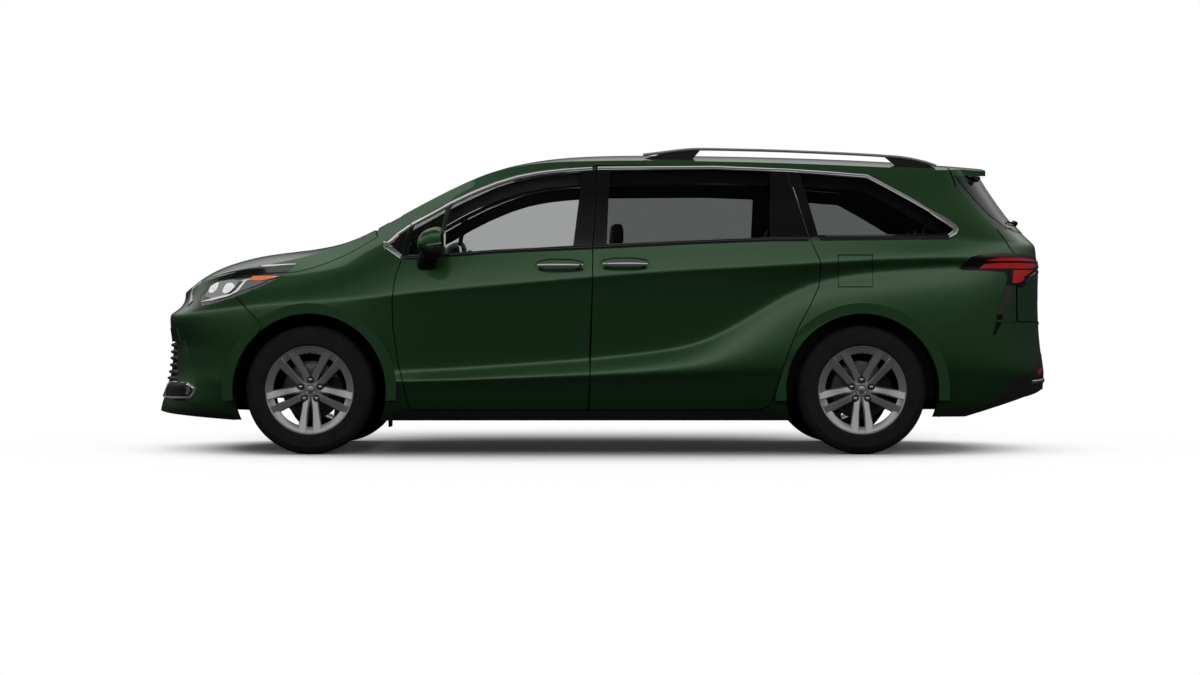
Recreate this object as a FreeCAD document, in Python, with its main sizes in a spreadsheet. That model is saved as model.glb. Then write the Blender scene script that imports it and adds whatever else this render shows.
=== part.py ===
"""A seven-seat minivan at its real size, as the assembly of its panels, glass, seats, axles and wheels.

Frame: +X forward, +Y to the car's left, +Z up, origin on the ground at the centre of the bounding box.
The skin is one wall surface round the car and one deck surface over bonnet, windscreen and roof;
each panel is the space between an outer and an inset pair of them, cut to its own outline.
"""

import FreeCAD, Part

import math
import os

from FreeCAD import Vector

doc = FreeCAD.newDocument("minivan")

# Driving dimensions

SIZES = {
    "overall_front": 2587.5,
    "overall_rear": 2587.5,
    "body_half_width": 997.0,
    "front_axle_x": 1626.5,
    "wheelbase": 3060.0,
    "track": 1720.0,
    "tyre_radius": 357.0,
    "tyre_width": 235.0,
    "rim_radius": 246.0,
    "arch_radius": 424.0,
    "panel_gap": 5.5,
    "door_thickness": 82.0,
    "frame_thickness": 46.0,
    "roof_thickness": 34.0,
    "glass_thickness": 5.0,
    "glass_inset": 4.0,
    "sill_height": 188.0,
    "floor_top": 352.0,
    "floor_thickness": 60.0,
    "disc_radius": 160.0,
    "hub_bore_radius": 30.0,
    "stud_circle_radius": 57.15,
    "stud_hole_radius": 7.2,
    "rail_height": 38.0,
}

sheet = doc.addObject("Spreadsheet::Sheet", "sizes")
for row, (name, value) in enumerate(SIZES.items(), start=1):
    sheet.set(f"A{row}", name)
    sheet.set(f"B{row}", str(value))
    sheet.setAlias(f"B{row}", name)
doc.recompute()


def size(name):
    return float(sheet.get(name))


# The skin of the body

FRONT = size("overall_front")
REAR = -size("overall_rear")
HALF = size("body_half_width")
FRONT_AXLE = size("front_axle_x")
REAR_AXLE = FRONT_AXLE - size("wheelbase")
BOTTOM = 150.0
TOP = 1850.0

# Where the sides start to close towards the nose and the tail, and how square the corners are
NOSE_START, NOSE_POWER = 1500.0, 2.9
TAIL_START, TAIL_POWER = -1750.0, 2.3
NOSE_ANGLES = (10, 25, 42, 58, 74, 90)
TAIL_ANGLES = (90, 75, 58, 40, 20, 6)
SIDE_STATIONS = (-1750, -1433, -1110, -820, -560, -280, 60, 400, 750, 1050, 1280, 1500)


def along(pairs, x):
    """The value at x on the line through the pairs, held level past its ends."""
    if x <= pairs[0][0]:
        return pairs[0][1]
    for (x0, v0), (x1, v1) in zip(pairs, pairs[1:]):
        if x <= x1:
            return v0 + (v1 - v0) * (x - x0) / (x1 - x0)
    return pairs[-1][1]


# Heights of the lines that run along the side, as (x, z)
ROCKER_CREASE = ((-2500, 442), (-1969, 480), (-1433, 470), (-875, 459), (79, 434), (904, 408), (1626, 395), (2400, 400))
HAUNCH_VALLEY = (
    (-2500, 1030), (-1969, 1021), (-1487, 994), (-1238, 967), (-1116, 940), (-978, 862), (-812, 755),
    (-684, 671), (-557, 606), (-369, 569), (79, 524), (904, 469), (1341, 462), (1626, 520), (2400, 600),
)
SHOULDER_CREASE = (
    (-2500, 1095), (-1969, 1092), (-1487, 1080), (-978, 1044), (-369, 1014), (79, 978), (904, 906),
    (1341, 862), (1900, 840), (2400, 790),
)
BELT = ((-2500, 1197), (-1420, 1195), (-512, 1173), (55, 1144), (600, 1121), (1110, 1085), (1500, 1020), (2400, 900))


def between(low, high, share):
    return lambda x: along(low, x) + share * (along(high, x) - along(low, x))


def above(line, rise):
    return lambda x: along(line, x) + rise


# The rows of the wall from the bottom up: height along x, half width along x, nose x and tail x
WALL_ROWS = [
    (above(((0, BOTTOM),), 0), ((-2000, 880), (0, 905), (1500, 905)), 2596, -2550),
    (above(((0, 208),), 0), ((-2000, 915), (-1433, 945), (0, 938), (1500, 950)), 2622, -2568),
    (above(ROCKER_CREASE, -26), ((-2000, 950), (-1433, 978), (0, 966), (1500, 975)), 2556, -2586),
    (above(ROCKER_CREASE, 0), ((-2000, 958), (-1433, 990), (0, 984), (1500, 984)), 2545, -2590),
    (between(ROCKER_CREASE, HAUNCH_VALLEY, 0.35), ((-2000, 962), (-1433, 997), (-700, 988), (0, 974), (1100, 972), (1500, 985)), 2528, -2556),
    (between(ROCKER_CREASE, HAUNCH_VALLEY, 0.8), ((-2000, 958), (-1433, 990), (-700, 962), (0, 956), (1100, 960), (1500, 988)), 2522, -2550),
    (above(HAUNCH_VALLEY, 0), ((-2000, 938), (-1433, 964), (-700, 946), (0, 948), (1100, 957), (1500, 989)), 2519, -2557),
    (above(HAUNCH_VALLEY, 24), ((-2000, 935), (-1433, 960), (-700, 944), (0, 946), (1100, 956), (1500, 990)), 2518, -2555),
    (between(HAUNCH_VALLEY, SHOULDER_CREASE, 0.55), ((-2000, 936), (-1433, 962), (-700, 956), (0, 962), (1100, 968), (1500, 990)), 2531, -2553),
    (above(SHOULDER_CREASE, -16), ((-2000, 941), (-1433, 968), (-700, 972), (0, 977), (1100, 978), (1500, 984)), 2536, -2550),
    (above(SHOULDER_CREASE, 0), ((-2000, 943), (-1433, 971), (-700, 977), (0, 982), (1100, 982), (1500, 980)), 2519, -2547),
    (above(SHOULDER_CREASE, 20), ((-2000, 939), (-1433, 967), (-700, 972), (0, 978), (1100, 979), (1500, 974)), 2481, -2544),
    (between(SHOULDER_CREASE, BELT, 0.55), ((-2000, 928), (-1433, 955), (-700, 959), (0, 963), (1100, 955), (1500, 945)), 2448, -2541),
    (above(BELT, -14), ((-2000, 915), (-1433, 943), (-700, 946), (0, 948), (1100, 930), (1500, 905)), 2447, -2538),
    (above(BELT, 12), ((-2000, 910), (-1433, 938), (-700, 942), (0, 944), (1100, 920), (1500, 885)), 2447, -2506),
    (above(((-2000, 1300), (900, 1290), (1500, 1075), (2400, 985)), 0), ((-2000, 862), (-1433, 893), (0, 900), (900, 880), (1500, 835)), 2442, -2407),
    (above(((-2000, 1450), (700, 1440), (1500, 1130), (2400, 1050)), 0), ((-2000, 800), (-1433, 836), (0, 846), (700, 830), (1500, 770)), 2438, -2296),
    (above(((-2000, 1580), (600, 1570), (1500, 1200), (2400, 1130)), 0), ((-2000, 735), (-1433, 775), (0, 786), (600, 775), (1500, 700)), 2433, -2210),
    (above(((-2000, 1690), (500, 1680), (1500, 1300), (2400, 1250)), 0), ((-2000, 665), (-1433, 705), (0, 715), (500, 700), (1500, 640)), 2426, -2154),
    (above(((0, TOP),), 0), ((-2000, 560), (-1433, 600), (0, 605), (1500, 560)), 2400, -2095),
]


def bspline(poles, closed_u):
    """A cubic surface that follows a cage of poles, uniform in both directions and closed round u if asked."""
    count_u, count_v = len(poles), len(poles[0])

    def ends_clamped(count):
        inner = count - 4
        return [4] + [1] * inner + [4], [float(i) for i in range(inner + 2)]

    v_mults, v_knots = ends_clamped(count_v)
    if closed_u:
        u_mults, u_knots = [1] * (count_u + 1), [float(i) for i in range(count_u + 1)]
    else:
        u_mults, u_knots = ends_clamped(count_u)
    surface = Part.BSplineSurface()
    surface.buildFromPolesMultsKnots(poles, u_mults, v_mults, u_knots, v_knots, closed_u, False, 3, 3)
    return surface


def wall_loop(row, inset):
    """The poles of one row, from the tail's middle along the left side to the nose and back along the right."""
    height, widths, nose, tail = row
    nose, tail = nose - inset, tail + inset
    left = []
    for angle in TAIL_ANGLES:
        a = math.radians(angle)
        x = TAIL_START + (tail - TAIL_START) * math.sin(a) ** (2 / TAIL_POWER)
        y = (along(widths, TAIL_START) - inset) * max(math.cos(a), 0.0) ** (2 / TAIL_POWER)
        left.append((x, 0.0 if angle == 90 else y, height(x)))
    for x in SIDE_STATIONS:
        left.append((x, along(widths, x) - inset, height(x)))
    for angle in NOSE_ANGLES:
        a = math.radians(angle)
        x = NOSE_START + (nose - NOSE_START) * math.sin(a) ** (2 / NOSE_POWER)
        y = (along(widths, NOSE_START) - inset) * max(math.cos(a), 0.0) ** (2 / NOSE_POWER)
        left.append((x, 0.0 if angle == 90 else y, height(x)))
    right = [(x, -y, z) for x, y, z in left[-2:0:-1]]
    return [Vector(*p) for p in left + right]


def wall_solid(inset):
    """Everything inside the wall surface, moved in by the inset."""
    loops = [wall_loop(row, inset) for row in WALL_ROWS]
    poles = [[loop[i] for loop in loops] for i in range(len(loops[0]))]
    side = bspline(poles, True).toShape()
    caps = [Part.Face(Part.Wire([e])) for e in side.Edges if e.isClosed()]
    skin = Part.Compound([side] + caps)
    skin.sewShape(0.001)
    solid = Part.Solid(skin.Shells[0])
    if solid.Volume < 0:
        solid.reverse()
    return solid


# The deck, from the nose over bonnet, windscreen and roof to the tail, as (x, z) along the middle
DECK_LINE = (
    (-2750, 1570), (-2500, 1602), (-2250, 1633), (-1965, 1656), (-1679, 1676), (-1300, 1694), (-900, 1706), (-500, 1713),
    (-150, 1715), (100, 1709), (300, 1692), (480, 1659), (640, 1611), (800, 1542), (960, 1462), (1124, 1373),
    (1252, 1303), (1340, 1258), (1410, 1229), (1490, 1202), (1570, 1184), (1700, 1163), (1850, 1149), (1990, 1130),
    (2130, 1096), (2250, 1052), (2350, 988), (2430, 915), (2500, 820), (2750, 380),
)
# How far the deck has dropped at the crown's width
CROWN_WIDTH, CROWN_POWER = 850.0, 2.2
CROWN_DROP = (
    (-2250, 100), (-500, 96), (100, 92), (400, 68), (650, 46), (1252, 45), (1400, 50), (1560, 62), (1700, 84),
    (1850, 100), (1990, 115), (2350, 150),
)
CROWN_STATIONS = (0, 230, 440, 620, 760, 880, 1010, 1150)


def deck_solid(inset):
    """Everything under the deck surface, moved down by the inset."""
    half = [-y for y in reversed(CROWN_STATIONS[1:])]
    poles = []
    for x, z in DECK_LINE:
        poles.append([
            Vector(x, y, z - inset - along(CROWN_DROP, x) * (abs(y) / CROWN_WIDTH) ** CROWN_POWER)
            for y in half + list(CROWN_STATIONS)
        ])
    return bspline(poles, False).toShape().extrude(Vector(0, 0, -2600))


# Outlines seen from the side, as (x, z)

GAP = size("panel_gap")
DOOR_FRONT = ((1075, 1286), (1114, 1090), (1149, 988), (1166, 861), (1162, 708), (1136, 518), (1075, 270), (1066, 249))
DOOR_SPLIT = ((79, 249), (79, 275), (60, 924), (58, 1144), (42, 1438), (35, 1612))
WINDOW_LINE = (
    (1153, 1230), (1075, 1286), (961, 1347), (852, 1407), (734, 1464), (598, 1519), (478, 1556), (351, 1580),
    (222, 1594), (50, 1606), (-303, 1609), (-625, 1611), (-1032, 1595), (-1267, 1579), (-1480, 1561), (-1604, 1493),
    (-1715, 1430), (-1825, 1365), (-1914, 1317), (-1969, 1276), (-1981, 1253), (-1966, 1224), (-1925, 1203),
)
SLIDER_REAR = (
    (-1028, 1595), (-1147, 1184), (-1195, 1080), (-1201, 1006), (-1191, 932), (-1139, 821),
    (-1077, 710), (-1027, 586), (-978, 438), (-941, 314), (-916, 271), (-867, 249),
)
FRONT_WINDOW = (
    (1086, 1108), (1062, 1272), (961, 1329), (852, 1389), (734, 1446), (598, 1501), (478, 1538), (351, 1562),
    (222, 1576), (112, 1580), (165, 1160), (389, 1146), (601, 1136), (855, 1117),
)
SLIDER_WINDOW = ((-35, 1588), (-303, 1591), (-625, 1593), (-938, 1583), (-928, 1204), (-511, 1188), (-20, 1168))
REAR_WINDOW = (
    (-1096, 1574), (-1267, 1561), (-1476, 1542), (-1604, 1473), (-1715, 1410), (-1825, 1345), (-1914, 1297),
    (-1950, 1265), (-1930, 1222), (-1190, 1214),
)
HEADLAMP = (
    (2299, 874), (2127, 1007), (2001, 1033), (1823, 1052), (1708, 1054), (1759, 1007), (1899, 938), (2038, 880),
    (2178, 842), (2267, 826),
)
TAIL_LAMP = ((-1968, 1031), (-2053, 1099), (-2143, 1110), (-2450, 1108), (-2450, 930), (-2301, 941), (-2250, 1014))
GATE_EDGE = ((-1955, 1750), (-1955, 1600), (-1985, 1500), (-2225, 1250), (-2290, 1150), (-2330, 1115), (-2330, 738))
NOSE_LOWER = (
    (1886, 718), (2051, 878), (2120, 1060), (2250, 1060), (2320, 980), (2700, 980), (2700, 188), (1990, 188), (2050, 300),
)
LIP = ((2055, 228), (2400, 310), (2700, 310), (2700, 150), (2055, 150))
TAIL_LOWER = (
    (-1765, 641), (-1872, 714), (-1917, 720), (-2171, 737), (-2325, 732), (-2700, 732), (-2700, 260), (-2500, 240),
    (-2100, 190), (-1765, 190),
)
SLIDE_RAIL = ((-1215, 1206), (-1215, 1184), (-1940, 1198), (-1940, 1207))
FUEL_LID = ((-1297, 926), (-1297, 1108), (-1493, 1108), (-1493, 926))

# Outlines seen from above, as (x, y)
HOOD_HALF = (
    (1385, 0), (1372, 300), (1335, 560), (1268, 796), (1613, 856), (1708, 862), (1850, 838), (2000, 795),
    (2150, 720), (2270, 622), (2350, 490), (2420, 290), (2445, 0),
)
SCREEN_HALF = ((1322, 0), (1310, 300), (1272, 560), (1195, 762), (880, 690), (560, 618), (535, 300), (525, 0))
ROOF_HALF = ((525, 0), (535, 300), (560, 618), (200, 640), (-600, 648), (-1300, 640), (-1955, 620), (-1955, 0))


def polygon(points, place):
    corners = [place(*p) for p in points]
    return Part.Face(Part.makePolygon(corners + corners[:1]))


def side_prism(points, y0=0.0, y1=1300.0):
    """What an outline seen from the side covers between two distances from the middle."""
    return polygon(points, lambda x, z: Vector(x, y0, z)).extrude(Vector(0, y1 - y0, 0))


def plan_prism(points, z0, z1):
    """What an outline seen from above covers between two heights."""
    return polygon(points, lambda x, y: Vector(x, y, z0)).extrude(Vector(0, 0, z1 - z0))


def both_sides(half):
    """A half outline seen from above, made whole."""
    return list(half) + [(x, -y) for x, y in reversed(half) if y > 0]


def grown(points, distance):
    """An outline moved outwards all round."""
    face = polygon(points, lambda u, v: Vector(u, v, 0))
    wire = face.makeOffset2D(distance, 2).OuterWire
    return [(v.X, v.Y) for v in wire.OrderedVertexes]


def mirrored(shape):
    return shape.mirror(Vector(0, 0, 0), Vector(0, 1, 0))


def tidy(shape, least=20000.0):
    """The shape's solids, with slivers left out."""
    solids = [s for s in shape.Solids if s.Volume > least]
    return solids[0] if len(solids) == 1 else Part.Compound(solids)


def block(x0, x1, y0, y1, z0, z1):
    return Part.makeBox(x1 - x0, y1 - y0, z1 - z0, Vector(x0, y0, z0))


def rod(p, q, radius):
    p, q = Vector(*p), Vector(*q)
    return Part.makeCylinder(radius, (q - p).Length, p, q - p)


CORES = {}


def core(wall_inset, deck_inset):
    """Everything inside the skin, moved in by its insets."""
    key = (wall_inset, deck_inset)
    if key not in CORES:
        CORES[key] = wall_solid(wall_inset).common(deck_solid(deck_inset))
    return CORES[key]


def panel(region, thickness, deck_thickness=None):
    """The layer just inside the skin, where the region covers it."""
    return core(0, 0).common(region).cut(core(thickness, deck_thickness or thickness))


def pane(region):
    """Glass that lies a little below the skin."""
    inset = size("glass_inset")
    outer = core(inset, inset).common(region)
    return outer.cut(core(inset + size("glass_thickness"), inset + size("glass_thickness")))


# Doors

DOOR = size("door_thickness")
FRAME = size("frame_thickness")
HINGE_X = 1136.0
HINGE_Y = 985.0
BEVEL = Vector(0.25, -1, 0)
SLIT = 0.3


def shifted(points, dx):
    return [(x + dx, z) for x, z in points]


FRONT_DOOR = (
    list(DOOR_FRONT) + shifted(DOOR_SPLIT, GAP / 2)
    + [p for p in reversed(WINDOW_LINE) if DOOR_SPLIT[-1][0] + 5 < p[0] < DOOR_FRONT[0][0]]
)
SLIDER = (
    shifted(DOOR_SPLIT, -GAP / 2)[::-1] + list(reversed(SLIDER_REAR))
    + [p for p in reversed(WINDOW_LINE) if SLIDER_REAR[0][0] < p[0] < DOOR_SPLIT[-1][0] - 5]
)


def half_door(outline, window):
    """A door shell: a deep panel up to the belt and a slimmer frame round the window."""
    low = panel(side_prism(outline).common(block(-2000, 1500, 0, 1300, 0, 1140)), DOOR)
    high = panel(side_prism(outline).common(block(-2000, 1500, 0, 1300, 1140, 1800)), FRAME)
    door = low.fuse(high)
    return door.cut(side_prism(window, 700)) if window else door


def bevel_tools(points, reach):
    """Slanted blocks that take the inner corner off a door's rear edge, one for each run of the edge."""
    tools = []
    for (x0, z0, y0), (x1, z1, y1) in zip(points, points[1:]):
        a, b = Vector(x0, y0, z0) - BEVEL * 60, Vector(x1, y1, z1) - BEVEL * 60
        face = Part.Face(Part.makePolygon([a, b, b + BEVEL * 330, a + BEVEL * 330, a]))
        tools.append(face.extrude(Vector(-reach, 0, 0)))
    return tools


# The cups pressed into the doors behind the pull handles, as (x, z)
FRONT_CUP = ((380, 1046), (362, 1072), (300, 1086), (180, 1084), (112, 1070), (95, 1042), (112, 1016), (180, 1002), (300, 1003), (362, 1020))
SLIDER_CUP = ((25, 1052), (8, 1078), (-55, 1092), (-175, 1092), (-242, 1080), (-258, 1054), (-242, 1028), (-175, 1012), (-55, 1010), (8, 1026))
CUP_DEPTH = 14.0


def cup(points):
    return side_prism(points).cut(core(CUP_DEPTH, CUP_DEPTH))


def front_door_left():
    door = half_door(FRONT_DOOR, FRONT_WINDOW).cut(cup(FRONT_CUP))
    pillar = panel(side_prism(((852, 1410), (876, 1410), (928, 1100), (904, 1100))), 30)
    door = door.fuse(pillar.common(side_prism(FRONT_DOOR)))
    edge = [(x, z) for x, z in shifted(DOOR_SPLIT, GAP / 2)]
    skin_y = {249: 962, 275: 962, 924: 978, 1144: 950, 1438: 846, 1612: 765}
    points = [(x, z, skin_y[z]) for x, z in edge]
    points = [(points[0][0], 200, 962)] + points + [(points[-1][0], 1660, 745)]
    return tidy(door.cut(bevel_tools(points, 150)))


def front_glass_left():
    return tidy(pane(side_prism(grown(FRONT_WINDOW, -SLIT), 600)).cut(panel(side_prism(
        ((852 - SLIT, 1410), (876 + SLIT, 1410), (928 + SLIT, 1100), (904 - SLIT, 1100))), 30)))


def slider_left():
    return tidy(half_door(SLIDER, SLIDER_WINDOW).cut(cup(SLIDER_CUP)))


# Fixed panels of the body

ARCH = size("arch_radius")
TYRE = size("tyre_radius")


def wheel_void(axle, radius, y0, y1):
    return rod((axle, y0, TYRE), (axle, y1, TYRE), radius)


def flare_left(axle):
    """The flat band round a wheel arch."""
    band = wheel_void(axle, ARCH + 58, 900, HALF - 9).cut(wheel_void(axle, ARCH, 800, 1100))
    return band.common(block(axle - 600, axle + 600, 900, HALF - 9, 300, 1000))


DOORS_OUT = {
    "front": side_prism(grown(FRONT_DOOR, GAP)),
    "slider": side_prism(grown(SLIDER, GAP)),
}
HOOD_OUT = plan_prism(both_sides(grown(HOOD_HALF, GAP)), 780, 1500)


def fender_left():
    outline = (
        (1886, 718), (2051 - GAP, 884), (2038, 886), (1899, 944), (1764, 1011), (1713, 1060), (1700, 1250), (1262, 1250),
        (1160, 1110), (1060, 1080), (1060, 188), (2100, 188), (2057, 430),
    )
    shell = panel(side_prism(outline), 14)
    return shell.cut([DOORS_OUT["front"], HOOD_OUT, side_prism(grown(HEADLAMP, SLIT)), side_prism(grown(NOSE_LOWER, 1.5))])


def side_frame_left():
    outline = (
        (1262, 1250.5), (1160, 1110.5), (1060, 1080.5), (1060, 188), (-1030, 188), (-1765, 188), (-1765, 640), (-1872, 713),
        (-1917, 719), (-2171, 736), (-2325, 736), (-2325, 1115), (-2285, 1152), (-2220, 1254), (-1980, 1502),
        (-1950, 1601), (-1950, 1760), (1262, 1760),
    )
    shell = panel(side_prism(outline), 55, 40)
    for tool in (DOORS_OUT["front"], DOORS_OUT["slider"], side_prism(REAR_WINDOW), side_prism(grown(TAIL_LAMP, SLIT))):
        shell = shell.cut(tool)
    shell = shell.cut(side_prism(grown(TAIL_LOWER, SLIT)))
    shell = shell.cut(plan_prism([(x, y) for x, y in both_sides(SCREEN_HALF)], 1100, 1900))
    shell = shell.cut(plan_prism([(x, y) for x, y in both_sides(ROOF_HALF)], 1500, 1900))
    return shell


def hood_whole():
    return tidy(panel(plan_prism(both_sides(HOOD_HALF), 800, 1500), 24))


def screen():
    return tidy(pane(plan_prism(both_sides(grown(SCREEN_HALF, -SLIT)), 1000, 1900)))


def cowl():
    """The strip under the wipers, between bonnet and windscreen."""
    half = [(1400, 0), (1386, 302), (1350, 563), (1285, 790), (1200, 765), (1275, 560), (1313, 300), (1325, 0)]
    strip = panel(plan_prism(both_sides(half), 900, 1500), 50).cut(deck_band(12))
    strip = strip.cut([HOOD_OUT, plan_prism(both_sides(SCREEN_HALF), 900, 1900)] + both(DOORS_OUT["front"]))
    return tidy(strip.cut(both(side_frame) + both(fender)))


def deck_band(depth):
    return block(1000, 1500, -1000, 1000, 900, 1500).cut(core(0, depth))


def roof_panel():
    return tidy(panel(plan_prism(both_sides(ROOF_HALF), 1500, 1900), size("roof_thickness")))


def front_bumper():
    """The nose below bonnet and lamps, open at the grille, with the front part of the wheel arch bands."""
    region = side_prism(grown(NOSE_LOWER, -2.5), -1300, 1300)
    shell = panel(region, 26)
    for tool in [HOOD_OUT, GRILLE_OUT, side_prism(grown(LIP, SLIT), -1300, 1300)]:
        shell = shell.cut(tool)
    for tool in both(side_prism(grown(HEADLAMP, SLIT))) + both(wheel_void(FRONT_AXLE, ARCH, 500, 1100)):
        shell = shell.cut(tool)
    band = flare_left(FRONT_AXLE).common(region).cut(side_prism(grown(LIP, SLIT)))
    return tidy(shell.fuse(both(band)))


GRILLE_SHAPE = ((-790, 385), (790, 385), (700, 640), (330, 700), (-330, 700), (-700, 640))
GRILLE_OUT = polygon(GRILLE_SHAPE, lambda y, z: Vector(2200, y, z)).extrude(Vector(500, 0, 0))


def both(shape):
    return [shape, mirrored(shape)]


def front_grille():
    """Bars across the opening of the bumper, with the frame that carries them."""
    inner = polygon(GRILLE_SHAPE, lambda y, z: Vector(2200, y, z)).extrude(Vector(500, 0, 0))
    bed = core(14, 14).common(inner).cut(core(26, 26))
    bars = []
    for i in range(7):
        z = 412 + i * 38
        bars.append(block(2200, 2700, -800, 800, z - 7, z + 7))
    slats = core(2, 2).common(inner).common(Part.Compound(bars)).cut(core(20, 20))
    return tidy(bed.fuse(slats))


def front_lip():
    lip = panel(side_prism([(x, max(z, SILL)) for x, z in LIP], -1300, 1300), 60)
    return tidy(lip.cut(both(wheel_void(FRONT_AXLE, ARCH, 500, 1100))))


def headlamp_left():
    return tidy(panel(side_prism(HEADLAMP), 70, 120).cut(HOOD_OUT))


def tail_lamp_left():
    return tidy(panel(side_prism(TAIL_LAMP), 60).common(block(-2700, -1900, 640, 1100, 0, 2000)))


def rear_bumper():
    """The tail below the gate, with the rear part of the arch bands and two buffers for the gate."""
    region = side_prism(TAIL_LOWER, -1300, 1300)
    shell = panel(region, 34)
    shell = shell.cut(both(wheel_void(REAR_AXLE, ARCH, 500, 1100)))
    buffers = [block(-2522, -2503, y - 20, y + 20, 722, 740.7) for y in (-300, 300)]
    return tidy(shell.fuse(both(flare_left(REAR_AXLE).common(region)) + buffers))


GATE_WINDOW = ((-655, 1262), (655, 1262), (575, 1590), (-575, 1590))


def gate_whole():
    outline = [(x - GAP, z) for x, z in GATE_EDGE]
    outline[-1] = (outline[-1][0], outline[-1][1] + 3)
    outline += [(-2700, 741), (-2700, 1750)]
    shell = panel(side_prism(outline, -1300, 1300), 60)
    for tool in both(side_prism(grown(TAIL_LAMP, GAP), 630)):
        shell = shell.cut(tool)
    window = polygon(GATE_WINDOW, lambda y, z: Vector(-2700, y, z)).extrude(Vector(700, 0, 0))
    return tidy(shell.cut(window))


def gate_glass():
    inner = [(y * (1 - SLIT / 600), z + (SLIT if z < 1400 else -SLIT)) for y, z in GATE_WINDOW]
    window = polygon(inner, lambda y, z: Vector(-2700, y, z)).extrude(Vector(700, 0, 0))
    return tidy(pane(window))


def spoiler():
    half = [(-2000, 0), (-2000, 600), (-2140, 590), (-2176, 560), (-2196, 0)]
    slab = deck_solid(0).common(plan_prism(both_sides(half), 1560, 1800)).cut(deck_solid(30))
    return tidy(slab.cut(core(0, 0)))


def fuel_lid():
    return tidy(panel(side_prism(grown(FUEL_LID, -GAP)), 10))


def quarter_glass_left():
    return tidy(pane(side_prism(grown(REAR_WINDOW, -SLIT), 500)))


def slider_glass_left():
    return tidy(pane(side_prism(grown(SLIDER_WINDOW, -SLIT), 500)))


# Wheels, hubs and axles

RIM = size("rim_radius")
HALF_TRACK = size("track") / 2
HALF_TREAD = size("tyre_width") / 2
# Two points on the left steering axis, as (y, z)
KINGPIN = ((770.0, 215.0), (680.0, 760.0))
WHEELS = {
    "front_left": (FRONT_AXLE, 1), "front_right": (FRONT_AXLE, -1),
    "rear_left": (REAR_AXLE, 1), "rear_right": (REAR_AXLE, -1),
}


def turned(profile):
    """A profile of (outboard, radius) turned about the wheel's own axis."""
    corners = [Vector(0, y, r) for y, r in profile]
    face = Part.Face(Part.makePolygon(corners + corners[:1]))
    return face.revolve(Vector(0, 0, 0), Vector(0, 1, 0), 360)


def tyre():
    bead = RIM - 8.7
    w = HALF_TREAD
    half = ((w - 20.3, bead), (w - 2, bead + 44), (w - 8, TYRE - 22), (w - 32, TYRE))
    return turned(list(half) + [(-y, r) for y, r in reversed(half)])


def spoke(angle):
    """One of a pair of spokes: narrow at the hub, wider at the rim, dished inwards at the middle."""
    outline = ((46, 3), (100, 2), (215, 15), (236, 17), (236, 62), (214, 58), (110, 38), (46, 40))
    side = ((46, 40), (90, 52), (236, 92), (236, 62), (100, 22), (46, 12))
    flat = Part.Face(Part.makePolygon([Vector(t, -150, r) for r, t in outline + outline[:1]])).extrude(Vector(0, 300, 0))
    deep = Part.Face(Part.makePolygon([Vector(-150, y, r) for r, y in side + side[:1]])).extrude(Vector(300, 0, 0))
    one = flat.common(deep)
    pair = one.fuse(one.mirror(Vector(0, 0, 0), Vector(1, 0, 0)))
    pair.rotate(Vector(0, 0, 0), Vector(0, 1, 0), angle)
    return pair


def rim():
    """An alloy wheel of five pairs of spokes, with its brake disc and hub."""
    w = HALF_TREAD - 20
    barrel = turned((
        (w + 10, RIM - 9), (w + 10, RIM + 1), (w + 5, RIM + 1), (w + 5, RIM - 9), (-w - 5, RIM - 9), (-w - 5, RIM + 1),
        (-w - 10, RIM + 1), (-w - 10, RIM - 16), (-40, RIM - 26), (w - 14, RIM - 20),
    ))
    hub = turned(((-20, 0), (-20, 72), (12, 72), (40, 66), (44, 34), (50, 30), (50, 0)))
    disc = turned(((-20, 30), (-20, size("disc_radius")), (-44, size("disc_radius")), (-44, 30)))
    inside = rod((0, -200, 0), (0, 200, 0), RIM - 12)
    wheel = barrel.fuse([hub, disc] + [spoke(180 + 72 * i).common(inside) for i in range(5)])
    holes = []
    for i in range(5):
        a = math.radians(72 * i)
        x, z = size("stud_circle_radius") * math.sin(a), size("stud_circle_radius") * math.cos(a)
        holes.append(rod((x, 18, z), (x, 90, z), 13))
    bore = rod((0, -60, 0), (0, -10, 0), size("hub_bore_radius"))
    return tidy(wheel.cut(holes + [bore]).removeSplitter())


def kingpin(z):
    """A point on the left steering axis, which leans inwards towards the top."""
    low, high = KINGPIN
    return (FRONT_AXLE, low[0] + (high[0] - low[0]) * (z - low[1]) / (high[1] - low[1]), z)


def caliper_left(x):
    """The brake caliper astride the disc, and the bridge that carries it."""
    y = HALF_TRACK
    ring = wheel_void(x, 176, y - 86, y - 8).cut(wheel_void(x, 100, y - 86, y - 8))
    ring = ring.cut(wheel_void(x, size("disc_radius") + 5, y - 50, y - 14))
    caliper = ring.common(block(x - 200, x - 90, y - 90, y, TYRE - 70, TYRE + 70))
    return [caliper, block(x - 130, x - 40, y - 92, y - 76, TYRE - 30, TYRE + 30)]


def knuckle_left():
    """The upright that the front wheel turns on, with its spindle, strut, arm and brake caliper."""
    x, y = FRONT_AXLE, HALF_TRACK
    spindle = rod((x, y - 110, TYRE), (x, y - 12, TYRE), size("hub_bore_radius") - 0.3)
    body = rod((x, y - 118, TYRE), (x, y - 70, TYRE), 58)
    post = rod(kingpin(236), kingpin(700), 24)
    arm = block(x - 150, x, 742, 768, 330, 360)
    return tidy(body.fuse([spindle, post, arm] + caliper_left(x)))


def strut_mounts():
    """The lower ball joint and the upper mount on the left steering axis."""
    return [rod(kingpin(186), kingpin(235.6), 24), rod(kingpin(700.4), kingpin(744), 34)]


# Floor, wheelhouses and running gear

FLOOR = size("floor_top")
SILL = size("sill_height")


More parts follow.
